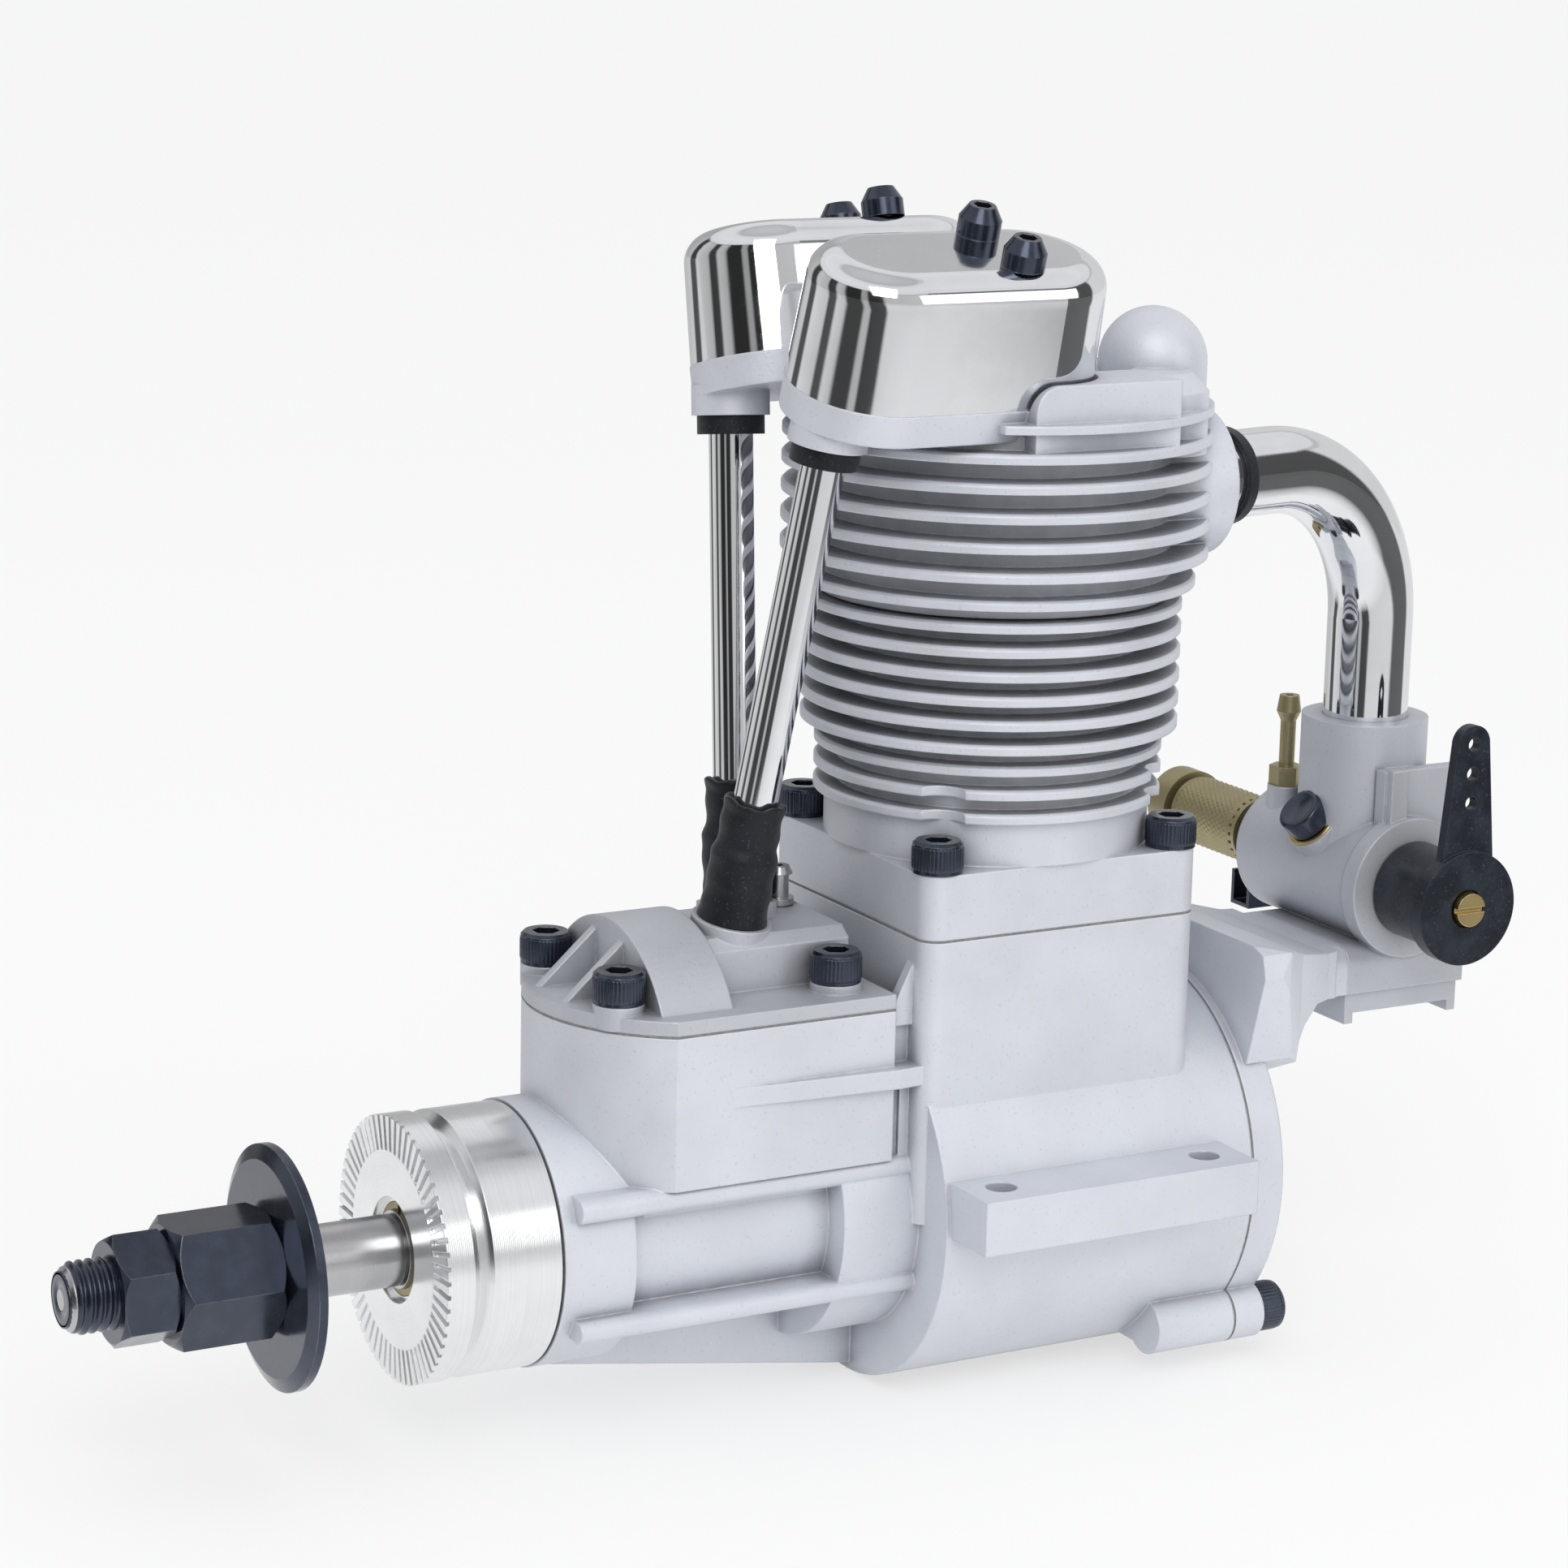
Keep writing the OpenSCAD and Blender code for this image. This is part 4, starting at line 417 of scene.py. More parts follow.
def painted_crevice_shade_group():
    """The shared painted shade of gaps and corners."""
    return shared_group(
        "painted_crevice_shade",
        [("Reach", "NodeSocketFloat", 0.003)],
        [("Painted shade", "NodeSocketFloat")],
        build_crevices,
    )


def build_turning(tree, given):
    """Lathe marks about an axis along Y: waves in the radius on faces, in Y on sides."""
    parts = put(tree, "ShaderNodeSeparateXYZ", {0: given["Vector"]}).outputs
    across = maths(
        tree,
        "SQRT",
        maths(
            tree, "ADD", maths(tree, "POWER", parts[0], 2.0), maths(tree, "POWER", parts[2], 2.0)
        ),
    )
    station = maths(tree, "ADD", across, parts[1])
    wander = noise(tree, given["Vector"], 260.0, 2.0)
    rough = put(
        tree, "ShaderNodeCombineXYZ", {0: station, 1: maths(tree, "MULTIPLY", wander, 0.0002)}
    ).outputs[0]
    fine = noise(tree, rough, maths(tree, "DIVIDE", 1.0, given["Pitch"]), 3.0, 0.7)
    waves = maths(
        tree,
        "SINE",
        maths(tree, "MULTIPLY", station, maths(tree, "DIVIDE", 6.2832, given["Pitch"])),
    )
    height = maths(tree, "ADD", maths(tree, "MULTIPLY", waves, 0.25), fine)
    return {"Height": height, "Streaks": between(tree, fine, 0.3, 0.7)}


def turning_group():
    """The shared lathe marks."""
    return shared_group(
        "lathe_marks",
        [("Vector", "NodeSocketVector", None), ("Pitch", "NodeSocketFloat", 0.0002)],
        [("Height", "NodeSocketFloat"), ("Streaks", "NodeSocketFloat")],
        build_turning,
    )


def build_handling(tree, given):
    """Soft smears and dust left by handling."""
    at = put(tree, "ShaderNodeTexCoord").outputs["Object"]
    bent = noise(tree, at, given["Scale"], 4.0, 0.6)
    dust = between(tree, noise(tree, at, 3200.0, 2.0), 0.62, 0.72)
    return {"Smear": between(tree, bent, 0.42, 0.62), "Dust": dust}


def handling_group():
    """The shared smears and dust."""
    return shared_group(
        "handling",
        [("Scale", "NodeSocketFloat", 160.0)],
        [("Smear", "NodeSocketFloat"), ("Dust", "NodeSocketFloat")],
        build_handling,
    )


def build_walls(tree, given):
    """Brightness of the studio by direction: pale screens with dark gaps between them.

    The angle about the vertical, atan2(y, x) as a share of a turn, runs through a ramp.
    """
    parts = put(tree, "ShaderNodeSeparateXYZ", {0: given["Vector"]}).outputs
    angle = maths(tree, "ARCTAN2", parts[1], parts[0])
    ramp = put(tree, "ShaderNodeValToRGB", {0: between(tree, angle, -math.pi, math.pi)})
    stops = ramp.color_ramp.elements
    walls = [
        (-180, 0.5), (-162, 0.62), (-158, 0.06), (-146, 0.06), (-142, 0.72), (-118, 0.55),
        (-114, 0.05), (-104, 0.06), (-100, 0.62), (-89, 0.5), (-84, 0.03), (-64, 0.03),
        (-61, 0.4), (-55, 0.4), (-52, 0.03), (-34, 0.04), (-30, 0.62), (30, 0.68),
        (36, 0.08), (76, 0.1), (81, 0.85), (140, 0.8), (158, 0.5),
    ]
    while len(stops) < len(walls):
        stops.new(0.5)
    for stop, (degrees, level) in zip(stops, walls):
        stop.position = degrees / 360 + 0.5
        stop.color = (level, level, level, 1)
    return {"Level": put(tree, "ShaderNodeRGBToBW", {0: ramp.outputs[0]}).outputs[0]}


def wall_group():
    """The studio walls that shiny surfaces mirror."""
    return shared_group(
        "studio_walls",
        [("Vector", "NodeSocketVector", None)],
        [("Level", "NodeSocketFloat")],
        build_walls,
    )


def placed(tree, group, **values):
    """A group node with its input values set or linked."""
    made = tree.nodes.new("ShaderNodeGroup")
    made.node_tree = group
    for key, value in values.items():
        label = key.replace("_", " ")
        if isinstance(value, bpy.types.NodeSocket):
            tree.links.new(value, made.inputs[label])
        else:
            made.inputs[label].default_value = value
    return made.outputs


def start_material(name, metallic, roughness, **sockets):
    """A material with a Principled shader whose plain values are set on its own sockets.

    The frame brings a plain material of the same name, which steps aside.
    """
    plain = bpy.data.materials.get(name)
    if plain:
        plain.name = "plain_" + name
    made = bpy.data.materials.new(name)
    made.use_nodes = True
    tree = made.node_tree
    tree.nodes.clear()
    shader = put(tree, "ShaderNodeBsdfPrincipled", {"Metallic": metallic, "Roughness": roughness})
    for key, value in sockets.items():
        shader.inputs[key.replace("_", " ")].default_value = value
    put(tree, "ShaderNodeOutputMaterial", {"Surface": shader.outputs[0]})
    return tree, shader


def bumped(tree, shader, height, distance, strength=1.0, normal=None):
    """Feeds a height through a Bump node into the shader's normal."""
    sockets = {"Height": height, "Distance": distance, "Strength": strength}
    if normal is not None:
        sockets["Normal"] = normal
    made = put(tree, "ShaderNodeBump", sockets)
    tree.links.new(made.outputs[0], shader.inputs["Normal"])


def rgba(colour, factor=1.0):
    """A colour with alpha 1, made darker or lighter by a factor."""
    return (*[min(1.0, c * factor) for c in colour], 1.0)


def casting_finish(name, shade):
    """Blasted aluminium: mottled blue-grey, brighter worn edges, painted shade in the gaps, pitted
    skin; shade scales the whole colour, and below 1 it is painted shade.
    """
    tree, shader = start_material(name, 0.45, 0.52)
    skin = placed(tree, casting_group())
    edges = placed(tree, edge_group(), Radius=sizes().edge_radius)
    gaps = placed(tree, painted_crevice_shade_group(), Reach=0.0036)
    base = [shade * c for c in colours().cast]
    grey = mixed(tree, skin["Mottle"], rgba(base, 0.95), rgba(base, 1.05))
    grey = mixed(tree, maths(tree, "MULTIPLY", skin["Specks"], 0.35), grey, rgba(base, 0.7))
    # painted shade: the colour falls towards 0.3 of the base where the occlusion finds gaps and
    # corners
    grey = mixed(tree, maths(tree, "MULTIPLY", gaps["Painted shade"], 0.82), grey, rgba(base, 0.3))
    grey = mixed(tree, maths(tree, "MULTIPLY", edges["Edge"], 0.75), grey, rgba(base, 1.3))
    tree.links.new(grey, shader.inputs["Base Color"])
    rough = between(tree, skin["Mottle"], 0.0, 1.0, 0.46, 0.58)
    rough = maths(tree, "SUBTRACT", rough, maths(tree, "MULTIPLY", edges["Edge"], 0.14))
    tree.links.new(rough, shader.inputs["Roughness"])
    bumped(tree, shader, skin["Height"], 0.00004, 0.7, edges["Normal"])


def turned_finish(name, base, metallic, roughness, pitch, depth, crosswise=False):
    """A turned metal: fine lathe rings, light streaks and smears, soft edges.

    The rings run about the crankshaft's axis, or about the throttle barrel's if crosswise.
    """
    tree, shader = start_material(name, metallic, roughness)
    at = put(tree, "ShaderNodeTexCoord").outputs["Object"]
    if crosswise:
        shift = put(tree, "ShaderNodeVectorMath", {0: at, 1: CARB}, operation="SUBTRACT").outputs[0]
        at = put(
            tree, "ShaderNodeMapping", {"Vector": shift, "Rotation": CARB_AXIS_TURN},
            vector_type="POINT",
        ).outputs[0]
    marks = placed(tree, turning_group(), Vector=at, Pitch=pitch)
    edges = placed(tree, edge_group(), Radius=0.00015)
    hands = placed(tree, handling_group(), Scale=210.0)
    colour = mixed(tree, marks["Streaks"], rgba(base, 0.95), rgba(base, 1.03))
    colour = mixed(tree, maths(tree, "MULTIPLY", hands["Smear"], 0.3), colour, rgba(base, 0.9))
    colour = mixed(tree, maths(tree, "MULTIPLY", edges["Edge"], 0.5), colour, rgba(base, 1.2))
    tree.links.new(colour, shader.inputs["Base Color"])
    rough = between(tree, hands["Smear"], 0.0, 1.0, roughness * 0.94, roughness * 1.1)
    tree.links.new(rough, shader.inputs["Roughness"])
    bumped(tree, shader, marks["Height"], depth, 0.6, edges["Normal"])


def chrome_finish():
    """Bright plate: near mirror, faint polishing waves, a few smears and dust."""
    tree, shader = start_material("chrome", 1.0, 0.05)
    hands = placed(tree, handling_group(), Scale=120.0)
    at = put(tree, "ShaderNodeTexCoord").outputs["Object"]
    base = colours().chrome
    shade = mixed(tree, hands["Smear"], rgba(base, 1.0), rgba(base, 0.95))
    tree.links.new(shade, shader.inputs["Base Color"])
    rough = between(tree, hands["Smear"], 0.0, 1.0, 0.035, 0.085)
    rough = maths(tree, "ADD", rough, maths(tree, "MULTIPLY", hands["Dust"], 0.06))
    tree.links.new(rough, shader.inputs["Roughness"])
    bumped(tree, shader, noise(tree, at, 240.0, 2.0), 0.00001, 0.35)


def black_steel_finish():
    """Oil-blackened steel: blue-black, oily sheen, brown-grey edges that are partly wear and partly
    a painted highlight on the chamfers.
    """
    tree, shader = start_material("black_steel", 0.85, 0.24, Coat_Weight=0.35, Coat_Roughness=0.16)
    hands = placed(tree, handling_group(), Scale=420.0)
    edges = placed(tree, edge_group(), Radius=0.0002)
    at = put(tree, "ShaderNodeTexCoord").outputs["Object"]
    base = colours().black_steel
    dark = mixed(tree, hands["Smear"], rgba(base, 0.95), rgba(base, 1.15))
    # lighter grey edges: wear, and partly a painted highlight on the screw chamfers
    dark = mixed(tree, maths(tree, "MULTIPLY", edges["Edge"], 0.7), dark, (0.33, 0.34, 0.36, 1.0))
    tree.links.new(dark, shader.inputs["Base Color"])
    tree.links.new(between(tree, hands["Smear"], 0.0, 1.0, 0.22, 0.28), shader.inputs["Roughness"])
    bumped(tree, shader, noise(tree, at, 1800.0, 3.0), 0.00002, 0.3, edges["Normal"])


def soft_black_finish(name, base, roughness, grain, depth, gloss, sheen):
    """Black rubber or plastic: fine grain, grey bloom in patches, lighter rubbed edges."""
    tree, shader = start_material(
        name, 0.0, roughness, Specular_IOR_Level=gloss, Sheen_Weight=sheen
    )
    hands = placed(tree, handling_group(), Scale=240.0)
    edges = placed(tree, edge_group(), Radius=0.00025)
    at = put(tree, "ShaderNodeTexCoord").outputs["Object"]
    dark = mixed(tree, hands["Smear"], rgba(base, 0.9), rgba(base, 1.7))
    dark = mixed(tree, maths(tree, "MULTIPLY", edges["Edge"], 0.4), dark, rgba(base, 4.5))
    dark = mixed(tree, maths(tree, "MULTIPLY", hands["Dust"], 0.12), dark, (0.3, 0.3, 0.3, 1.0))
    tree.links.new(dark, shader.inputs["Base Color"])
    rough = between(tree, hands["Smear"], 0.0, 1.0, roughness * 0.9, roughness * 1.15)
    tree.links.new(rough, shader.inputs["Roughness"])
    bumped(tree, shader, noise(tree, at, grain, 3.0, 0.6), depth, 0.5, edges["Normal"])


def paper_finish():
    """Pressed fibre: speckled grey-brown with short fibres."""
    tree, shader = start_material("gasket_paper", 0.0, 0.85)
    at = put(tree, "ShaderNodeTexCoord").outputs["Object"]
    base = colours().paper
    fibres = noise(tree, at, 1500.0, 4.0, 0.7)
    colour = mixed(tree, between(tree, fibres, 0.3, 0.7), rgba(base, 0.75), rgba(base, 1.2))
    tree.links.new(colour, shader.inputs["Base Color"])
    bumped(tree, shader, fibres, 0.00004, 0.5)


# ------------------------------------------------------------------ operators


class ENGINE_OT_finishes(Operator):
    """Make the finishes and give every CAD node the one its material slot names"""

    bl_idname = "engine.finishes"
    bl_label = "Finishes"

    def execute(self, context):
        c = colours()
        casting_finish("cast_aluminium", 1.0)
        # a darker copy of the casting at 0.8 brightness: painted shade
        casting_finish("darker_cast_aluminium", 0.8)
        turned_finish("machined_aluminium", c.machined, 1.0, 0.2, 0.00022, 0.000006)
        turned_finish("steel", c.steel, 1.0, 0.24, 0.00012, 0.000006)
        turned_finish("cast_iron", c.iron, 0.9, 0.4, 0.0001, 0.000008)
        turned_finish("brass", c.brass, 1.0, 0.34, 0.0003, 0.00001, crosswise=True)
        turned_finish("tarnished_brass", c.tarnish, 0.9, 0.42, 0.0003, 0.00001, crosswise=True)
        chrome_finish()
        black_steel_finish()
        soft_black_finish("black_rubber", c.rubber, 0.5, 1400.0, 0.00004, 0.3, 0.1)
        soft_black_finish("black_plastic", c.plastic, 0.3, 2600.0, 0.00001, 0.45, 0.0)
        paper_finish()
        slots = {s["node"]: s["material_slot"] for s in frame["record"]["subparts"]}
        for name, node in frame["nodes"].items():
            node.data.materials.clear()
            finish = "tarnished_brass" if name in TARNISHED else slots[name]
            finish = "darker_cast_aluminium" if name in SHADE_PAINTED_CAST else finish
            node.data.materials.append(bpy.data.materials[finish])
        return {"FINISHED"}


class ENGINE_OT_shaft_thread(Operator):
    """Cut the black screw thread on the end of the propeller shaft"""

    bl_idname = "engine.shaft_thread"
    bl_label = "Shaft thread"

    def execute(self, context):
        """Radius: root plus depth times a trapezoid wave of height / pitch + angle / turn."""
        s = sizes()
        start, tip = THREAD
        columns, per_pitch = 48, 12
        rows = int((tip - start) / s.thread_pitch * per_pitch)
        height = np.linspace(start, tip, rows)
        turn = np.arange(columns) / columns
        wave = triangle_wave(height[:, None] / s.thread_pitch + turn[None, :])
        flank = np.clip(wave * 1.5 - 0.2, 0, 1)
        fade = smooth(height, start, start + 0.8 * MM) * (
            1 - smooth(height, tip - 1.5 * MM, tip - 0.5 * MM)
        )
        depth = s.thread_crest - s.thread_root
        radius = s.thread_root + 0.06 * MM + (depth - 0.06 * MM) * flank * fade[:, None]
        taper = 1 - 0.14 * smooth(height, tip - 0.9 * MM, tip)
        radius *= taper[:, None]
        # a chamfered end with a centre drilling of 1.15 mm radius
        end_radius = np.array([2.7, 2.4, 1.15, 1.15 - 0.1, 0.9]) * MM
        end_height = tip + np.array([0.0, 0.02, 0.02, -0.1, -1.4]) * MM
        radius = np.concatenate([radius, np.repeat(end_radius[:, None], columns, 1)])
        height = np.concatenate([height, end_height])
        grid = turned(radius, height, columns, (0, AHEAD, 0), (0, -1, 0), (1, 0, 0))
        piece = capped_tube("shaft_thread", grid)
        dress(piece, "crank", "black_steel")
        return {"FINISHED"}


def ridged_sleeve(origin, axis, ridges, depth):
    """A ring of grip ridges: the outer radius rises by depth on each ridge, as |sin|."""
    low, high = HEAD_SPAN
    columns = ridges * 6
    turn = np.arange(columns) / columns
    ridge = np.abs(np.sin(np.pi * ridges * turn)) ** 0.7
    share = np.array([0.0, 0.0, 0.7, 1.0, 1.0, 0.7, 0.0, 0.0])
    inner = np.array([-0.25, 0.0, 0.0, 0.0, 0.0, 0.0, 0.0, -0.25]) * MM
    rise = np.array([0.0, 0.0, 0.06, 0.16, 0.84, 0.94, 1.0, 1.0])
    rows_radius = HEAD_RADIUS + inner[:, None] + share[:, None] * depth * ridge[None, :]
    rows_height = low + (high - low) * rise
    side = (1, 0, 0) if abs(axis[0]) < 0.9 else (0, 1, 0)
    return turned(rows_radius, rows_height, columns, origin, axis, side)


class ENGINE_OT_screw_ridges(Operator):
    """Put grip ridges round the heads of the cap screws"""

    bl_idname = "engine.screw_ridges"
    bl_label = "Cap screw ridges"

    def execute(self, context):
        s = sizes()
        signs = (-1, 1)
        block_at, block_seat = 15.4, 40.2
        cam_at, cam_seat = ((9.2, -51.4), (11.2, -25.6)), 27.8
        rear_at, rear_seat = 16.9, 28.3
        up, back = (0, 0, 1), (0, 1, 0)
        sets = {
            "cylinder_screw_ridges": [
                ((i * block_at, j * block_at, block_seat), up) for i in signs for j in signs
            ],
            "cam_screw_ridges": [((i * x, y, cam_seat), up) for x, y in cam_at for i in signs],
            "rear_screw_ridges": [
                ((i * rear_at, rear_seat, j * rear_at), back)
                for i, j in ((1, -1), (-1, -1), (-1, 1))
            ],
        }
        for name, places in sets.items():
            grids = [
                ridged_sleeve(
                    np.array(at) * MM + [0, AHEAD, 0], axis, s.head_ridges, s.ridge_depth
                )
                for at, axis in places
            ]
            dress(closed_loops(name, grids), "engine_frame", "black_steel")
        return {"FINISHED"}


def bank_frame(side):
    """Origin and axes of a tilted rocker box: outwards, along the shaft and up."""
    outwards = np.array([side * math.cos(BANK_TILT), 0, -math.sin(BANK_TILT)])
    up = np.array([side * math.sin(BANK_TILT), 0, math.cos(BANK_TILT)])
    origin = np.array([side * BANK_AT[0], AHEAD, BANK_AT[1]])
    return origin, outwards, np.array([0.0, 1.0, 0.0]), up


class ENGINE_OT_valve_springs(Operator):
    """Wind the valve springs, with closed end turns"""

    bl_idname = "engine.valve_springs"
    bl_label = "Valve springs"

    def execute(self, context):
        """Centre line: a circle that rises by an S-shaped share of the height; wire round it."""
        s = sizes()
        rows, columns = 200, 12
        low, high, radius = -1.6 * MM, 5.2 * MM, 3.6 * MM
        wire = s.spring_wire / 2
        share = np.linspace(0, 1, rows)
        turn = 2 * np.pi * s.spring_turns * share
        ends = 0.85 / s.spring_turns
        rise = np.clip((share - ends) / (1 - 2 * ends), 0, 1)
        height = low + wire + (high - low - 2 * wire) * (0.12 * share + 0.88 * rise)
        around = 2 * np.pi * np.arange(columns) / columns
        for name, side in (("intake", 1), ("exhaust", -1)):
            origin, x, y, z = bank_frame(side)
            origin = origin - VALVE_AHEAD * y
            out = np.cos(turn)[:, None] * x + np.sin(turn)[:, None] * y
            centre = origin + radius * out + height[:, None] * z
            grid = centre[:, None] + wire * (
                np.cos(around)[None, :, None] * out[:, None]
                + np.sin(around)[None, :, None] * z
            )
            piece = capped_tube(name + "_spring_coil", grid[:, ::-side])
            dress(piece, "engine_frame", "steel", [name + "_spring"])
            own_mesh(piece)
        return {"FINISHED"}


class ENGINE_OT_boots(Operator):
    """Shrink the rubber boots over the push rod tubes"""

    bl_idname = "engine.boots"
    bl_label = "Rubber boots"

    def execute(self, context):
        """Radius: the sleeve's profile plus ripples that are sines of height and angle."""
        s = sizes()
        columns, length_up = 72, 13.8
        outer = np.linspace(0.0, length_up, 70)
        lip = np.array([0.12, 0.3, 0.42])
        inner_high = np.linspace(length_up - 0.1, 6.8, 8)
        inner_low = np.linspace(6.6, 0.0, 8)
        turn = 2 * np.pi * np.arange(columns) / columns
        lows = {"intake": (3.4, -34.6, 34.0), "exhaust": (-3.4, -30.4, 34.0)}
        highs = {"intake": (10.5, -28.4, 85.0), "exhaust": (-10.5, -28.4, 85.0)}
        grids = []
        for k, name in enumerate(("intake", "exhaust")):
            low, high = np.array(lows[name]), np.array(highs[name])
            waist = 3.78 - 0.42 * smooth(outer, 7.4, 9.0) + 0.16 * smooth(outer, 12.4, 13.6)
            foot = 0.22 * (1 - smooth(outer, 0.0, 1.4))
            ripple = (
                0.5 * np.sin(outer[:, None] * 1.9 + 1.3 * np.sin(turn[None, :] + k))
                + 0.35 * np.sin(2 * turn[None, :] + outer[:, None] * 0.55 + 2.1 * k)
                + 0.25 * np.sin(5 * turn[None, :] - outer[:, None] * 1.1)
            ) * (smooth(outer, 0.8, 2.5))[:, None]
            rows_r = (waist + foot)[:, None] + ripple * s.boot_ripple / MM
            top = rows_r[-1:]
            lips = top - lip[:, None] * 1.2
            lips_h = length_up + np.array([0.14, 0.16, 0.08])
            ragged = 0.18 * np.sin(3 * turn + k) + 0.1 * np.sin(7 * turn)
            inside_high = np.full((len(inner_high), columns), 2.55)
            inside_low = np.full((len(inner_low), columns), 3.05)
            radius = np.concatenate([rows_r, lips, inside_high, inside_low])
            height = np.concatenate([outer, lips_h, inner_high, inner_low])
            height = np.repeat(height[:, None], columns, 1)
            near_top = smooth(height, 11.5, 13.8)
            height = height + near_top * ragged[None, :]
            origin = low * MM + np.array([0, AHEAD, 0])
            grids.append(
                turned(radius * MM, height * MM, columns, origin, high - low, (1, 0, 0))
            )
        piece = closed_loops("pushrod_boot_sleeves", grids)
        dress(piece, "engine_frame", "black_rubber", ["pushrod_boots"])
        return {"FINISHED"}


class ENGINE_OT_needle_knurl(Operator):
    """Roll the knurl on the needle valve's knob"""

    bl_idname = "engine.needle_knurl"
    bl_label = "Needle knurl"

    def execute(self, context):
        """Radius: base plus depth times the lower of two slanted waves, a diamond pattern."""
        s = sizes()
        columns, rows = 192, 72
        turn = np.arange(columns) / columns
        along = np.linspace(0.0, 12.4, rows)
        count, slope = 40, 0.9
        a = triangle_wave(count * turn[None, :] + slope * along[:, None])
        b = triangle_wave(count * turn[None, :] - slope * along[:, None])
        diamond = np.minimum(a, b)
        fade = smooth(along, 0.0, 0.5) * (1 - smooth(along, 11.9, 12.4))
        radius = 4.14 * MM + (s.knurl_depth * diamond + 0.1 * MM) * fade[:, None]
        radius = np.concatenate(
            [np.full((1, columns), 3.9 * MM), radius, np.full((1, columns), 3.9 * MM)]
        )
        height = np.concatenate([[0.0], along, [12.4]]) * MM
        origin = np.array(CARB) - np.array([34.0 * MM, 0, 0])
        grid = turned(radius, height, columns, origin, (1, 0, 0), (0, 1, 0))
        piece = closed_loops("needle_knob_knurl", [grid])
        dress(piece, "needle", "tarnished_brass")
        return {"FINISHED"}


class ENGINE_OT_idle_screw(Operator):
    """Cap the idle screw with its smooth black head, over a thin brass ring"""

    bl_idname = "engine.idle_screw"
    bl_label = "Idle screw"

    def execute(self, context):
        """Both turn about the screw's axis: a squashed circle, and a head with rounded rims."""
        columns, rows = 64, 16
        axis = np.array([0.0, -math.sin(IDLE_LEAN), math.cos(IDLE_LEAN)])
        section = 2 * np.pi * np.arange(rows) / rows
        radius = (2.95 + 0.45 * np.cos(section)) * MM
        height = (9.42 + 0.22 * np.sin(section)) * MM
        grid = turned(radius, height, columns, CARB, axis, (1, 0, 0))
        piece = closed_loops("idle_screw_ring", [grid[::-1]])
        dress(piece, "engine_frame", "brass")
        rim = np.linspace(0, np.pi / 2, 6)
        radius = np.concatenate(
            [[1.1, 1.1, 2.4], 2.55 + 0.35 * np.sin(rim), 2.5 + 0.4 * np.cos(rim), [1.9, 1.7]]
        )
        height = np.concatenate(
            [[6.9, 9.66, 9.66], 10 - 0.35 * np.cos(rim), 12 + 0.4 * np.sin(rim), [12.4, 12.3]]
        )
        grid = turned(radius * MM, height * MM, columns, CARB, axis, (1, 0, 0))
        piece = capped_tube("idle_screw_cap", grid)
        dress(piece, "idle_stop", "black_steel", ["idle_screw"])
        return {"FINISHED"}


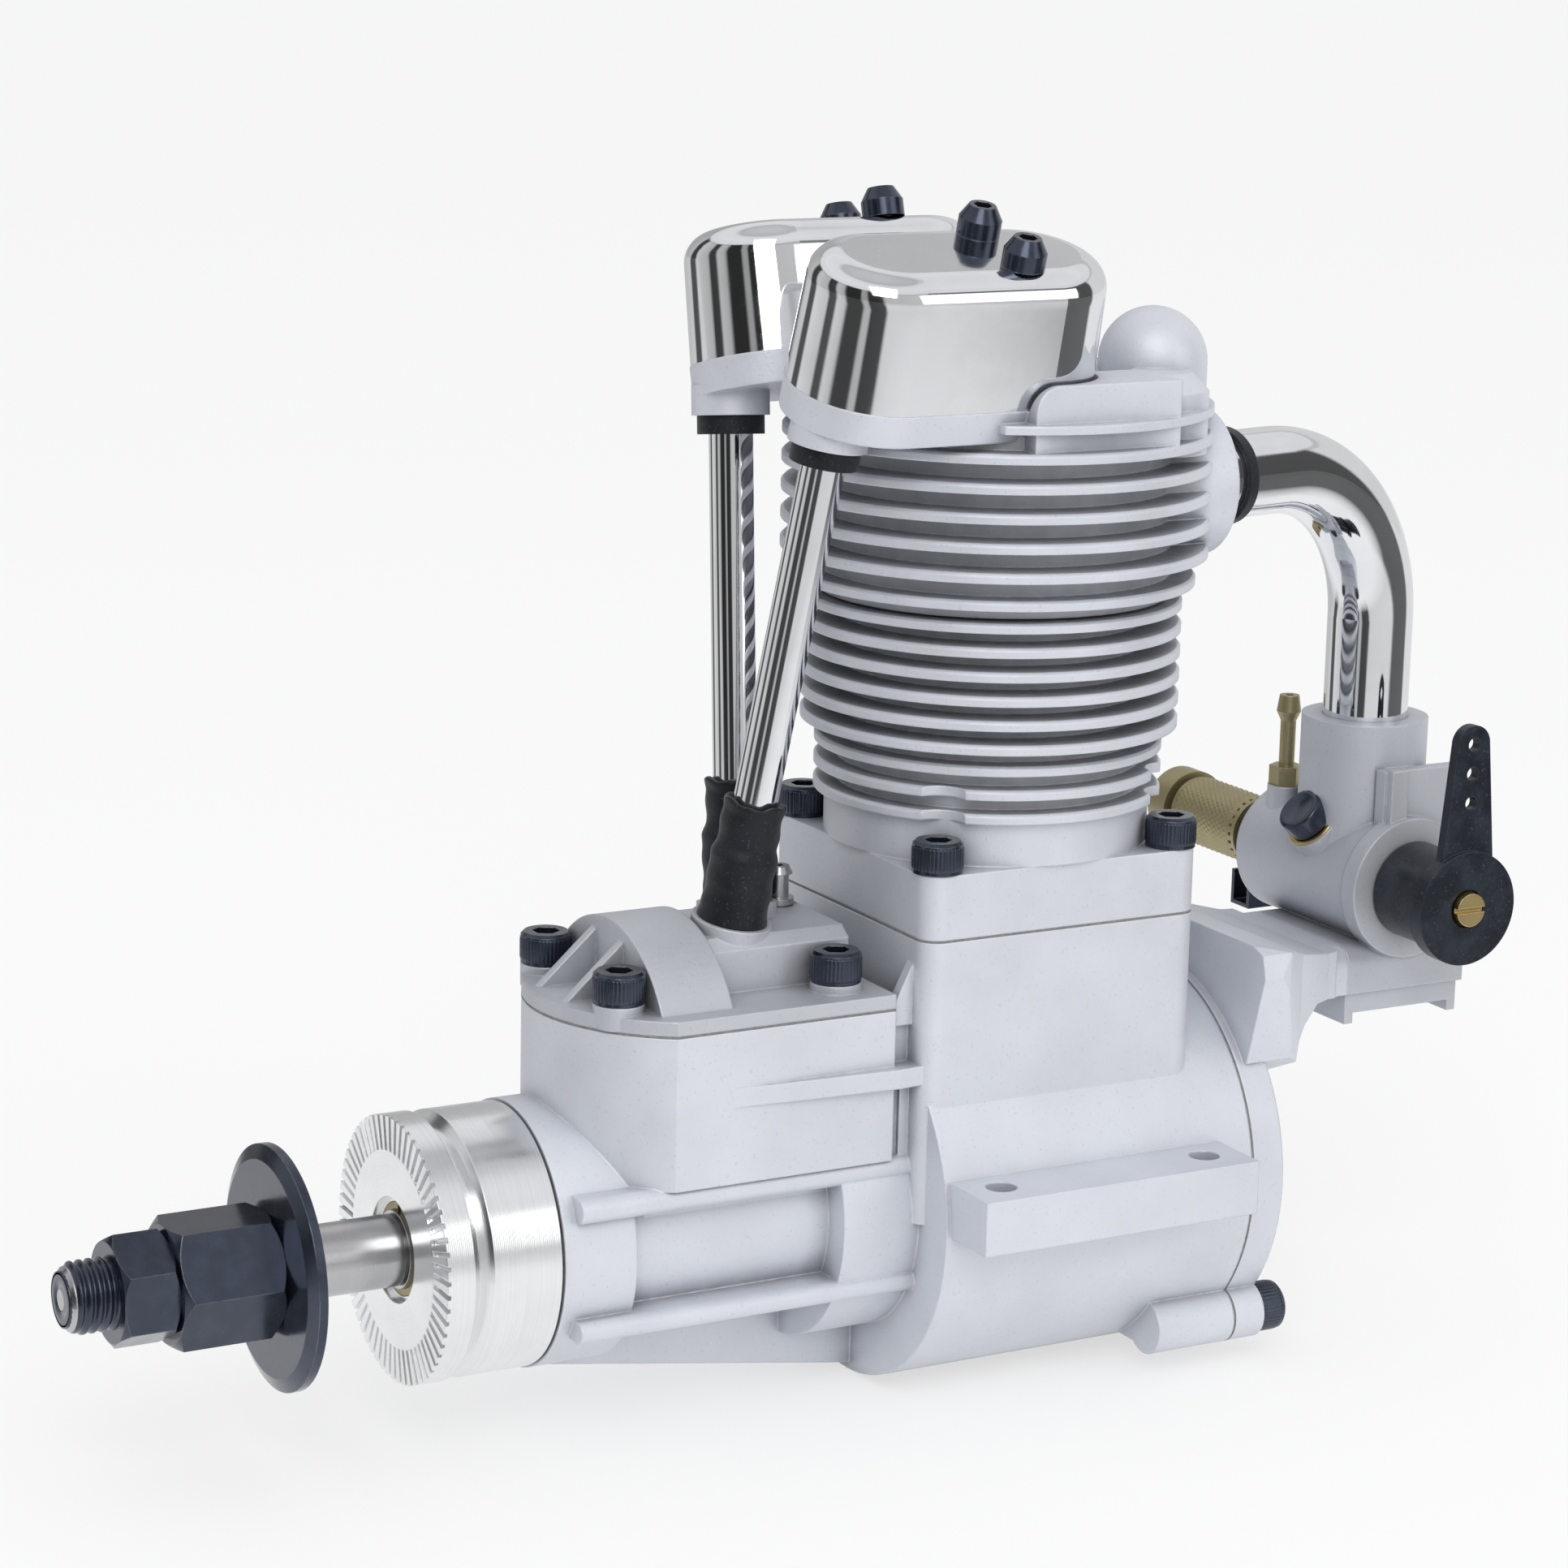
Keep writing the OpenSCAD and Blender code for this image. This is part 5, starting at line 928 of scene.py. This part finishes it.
class ENGINE_OT_stage(Operator):
    """Set the pale floor, the studio light and the camera at the photograph's angle"""

    bl_idname = "engine.stage"
    bl_label = "Stage"

    def execute(self, context):
        self.floor()
        self.world(context.scene)
        self.lights()
        self.camera(context.scene)
        context.scene.view_settings.view_transform = "Standard"
        return {"FINISHED"}

    def floor(self):
        """A wide flat square just below the engine."""
        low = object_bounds()[0][2] - 0.1 * MM
        half = 9.0
        corners = np.array(
            [(-half, -half, low), (half, -half, low), (half, half, low), (-half, half, low)]
        )
        floor = mesh_object("studio_floor", corners, np.array([[0, 1, 2, 3]]))
        made = bpy.data.materials.new("studio_floor")
        made.use_nodes = True
        tree = made.node_tree
        tree.nodes.clear()
        matte = put(tree, "ShaderNodeBsdfDiffuse", {"Color": rgba(colours().floor)})
        glow = put(tree, "ShaderNodeEmission", {"Color": (1, 1, 1, 1), "Strength": 1.0})
        path = put(tree, "ShaderNodeLightPath").outputs
        mirrored = maths(tree, "MAXIMUM", path["Is Glossy Ray"], path["Is Transmission Ray"])
        seen = maths(tree, "MAXIMUM", path["Is Camera Ray"], mirrored)
        at = put(tree, "ShaderNodeTexCoord").outputs["Object"]
        far = between(
            tree, put(tree, "ShaderNodeVectorMath", {0: at}, operation="LENGTH").outputs["Value"],
            0.13, 0.24,
        )
        walls = placed(tree, wall_group(), Vector=at)["Level"]
        dim = maths(tree, "MULTIPLY", maths(tree, "SUBTRACT", 1.0, walls), far)
        dim = maths(tree, "MULTIPLY", dim, mirrored)
        tree.links.new(maths(tree, "SUBTRACT", 1.0, dim), glow.inputs["Strength"])
        share = maths(tree, "MULTIPLY", seen, between(tree, dim, 0.0, 1.0, 0.62, 0.98))
        both = put(
            tree, "ShaderNodeMixShader", {0: share, 1: matte.outputs[0], 2: glow.outputs[0]}
        )
        put(tree, "ShaderNodeOutputMaterial", {"Surface": both.outputs[0]})
        floor.data.materials.append(made)
        floor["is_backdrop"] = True

    def world(self, scene):
        """A pale room: even light, and for reflections a bright ceiling over a darker wall."""
        world = bpy.data.worlds.new("studio")
        scene.world = world
        world.use_nodes = True
        tree = world.node_tree
        tree.nodes.clear()
        at = put(tree, "ShaderNodeTexCoord").outputs["Generated"]
        parts = put(tree, "ShaderNodeSeparateXYZ", {0: at}).outputs
        walls = placed(tree, wall_group(), Vector=at)["Level"]
        ramp = put(tree, "ShaderNodeValToRGB", {0: between(tree, parts[2], 0.0, 1.0)})
        stops = ramp.color_ramp.elements
        values = [
            (0.0, 0.0), (0.5, 0.0), (0.56, 0.9), (0.66, 0.9),
            (0.7, 0.95), (0.86, 0.9), (0.9, 0.6), (1.0, 0.7),
        ]
        while len(stops) < len(values):
            stops.new(0.5)
        for stop, (place, level) in zip(stops, values):
            stop.position = place
            stop.color = (level, level, level * 1.02, 1)
        above = between(tree, parts[2], 0.5, 0.56)
        room = mixed(tree, above, walls, ramp.outputs[0])
        path = put(tree, "ShaderNodeLightPath").outputs
        lean = put(
            tree, "ShaderNodeVectorMath", {0: at, 1: (0.55, 0.4, 0.45)}, operation="DOT_PRODUCT"
        ).outputs["Value"]
        soft = between(tree, lean, -0.75, 0.75)
        even = mixed(tree, soft, (0.62, 0.64, 0.68, 1), (1.14, 1.14, 1.14, 1))
        even = mixed(tree, path["Is Camera Ray"], even, (0.97, 0.98, 1.0, 1))
        colour = mixed(tree, path["Is Glossy Ray"], even, room)
        strength = scene.engine_stage.sky
        level = between(tree, path["Is Camera Ray"], 0.0, 1.0, strength, 1.0)
        back = put(tree, "ShaderNodeBackground", {"Color": colour, "Strength": level})
        put(tree, "ShaderNodeOutputWorld", {"Surface": back.outputs[0]})

    def lights(self):
        """A large soft key from the upper front and a weaker fill from the rear side."""
        stage = bpy.context.scene.engine_stage
        for name, place, size, power in (
            ("key", (0.8, -0.45, 0.75), 0.6, stage.key),
            ("fill", (0.8, 0.55, 0.35), 0.5, stage.fill),
        ):
            lamp = bpy.data.lights.new(name, "AREA")
            lamp.shape = "SQUARE"
            lamp.size = size
            lamp.energy = power
            made = bpy.data.objects.new(name, lamp)
            bpy.context.scene.collection.objects.link(made)
            made.location = place
            aim = Vector((0, -0.02, 0.045)) - made.location
            made.rotation_euler = aim.to_track_quat("-Z", "Y").to_euler()

    def camera(self, scene):
        """The photograph's camera: its place and its right, up and back directions."""
        lens = bpy.data.cameras.new("camera")
        lens.sensor_width = 36.0
        lens.lens = scene.engine_stage.lens
        lens.clip_start = 0.01
        made = bpy.data.objects.new("camera", lens)
        scene.collection.objects.link(made)
        right, up, back = (
            (0.47827, 0.87795, 0.02117),
            (-0.20428, 0.08777, 0.97497),
            (0.85412, -0.47063, 0.22133),
        )
        turn = Matrix((right, up, back)).transposed().to_4x4()
        made.matrix_world = Matrix.Translation((0.403208, -0.250147, 0.15234)) @ turn
        scene.camera = made


class ENGINE_PT_panel(Panel):
    """Sizes, colours and steps of the engine's looks"""

    bl_idname = "ENGINE_PT_panel"
    bl_label = "Engine looks"
    bl_space_type = "VIEW_3D"
    bl_region_type = "UI"
    bl_category = "Engine"

    def draw(self, context):
        layout = self.layout
        for group in ("engine_sizes", "engine_colours", "engine_stage"):
            box = layout.box()
            settings = getattr(context.scene, group)
            for name in settings.__annotations__:
                box.prop(settings, name)
        for step in STEPS:
            layout.operator(step.bl_idname)


GROUPS = {
    "engine_sizes": EngineSizes,
    "engine_colours": EngineColours,
    "engine_stage": EngineStage,
}
STEPS = (
    ENGINE_OT_finishes,
    ENGINE_OT_shaft_thread,
    ENGINE_OT_screw_ridges,
    ENGINE_OT_valve_springs,
    ENGINE_OT_boots,
    ENGINE_OT_needle_knurl,
    ENGINE_OT_idle_screw,
    ENGINE_OT_stage,
)


def register():
    """Registers the settings, the steps and the panel."""
    for name, group in GROUPS.items():
        bpy.utils.register_class(group)
        setattr(bpy.types.Scene, name, PointerProperty(type=group))
    for step in (*STEPS, ENGINE_PT_panel):
        bpy.utils.register_class(step)


def unregister():
    """Takes everything that register() added out again."""
    for step in (ENGINE_PT_panel, *reversed(STEPS)):
        bpy.utils.unregister_class(step)
    for name, group in reversed(GROUPS.items()):
        delattr(bpy.types.Scene, name)
        bpy.utils.unregister_class(group)


def main():
    """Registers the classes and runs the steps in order."""
    register()
    for step in STEPS:
        family, name = step.bl_idname.split(".")
        getattr(getattr(bpy.ops, family), name)()


if __name__ == "__main__":
    main()
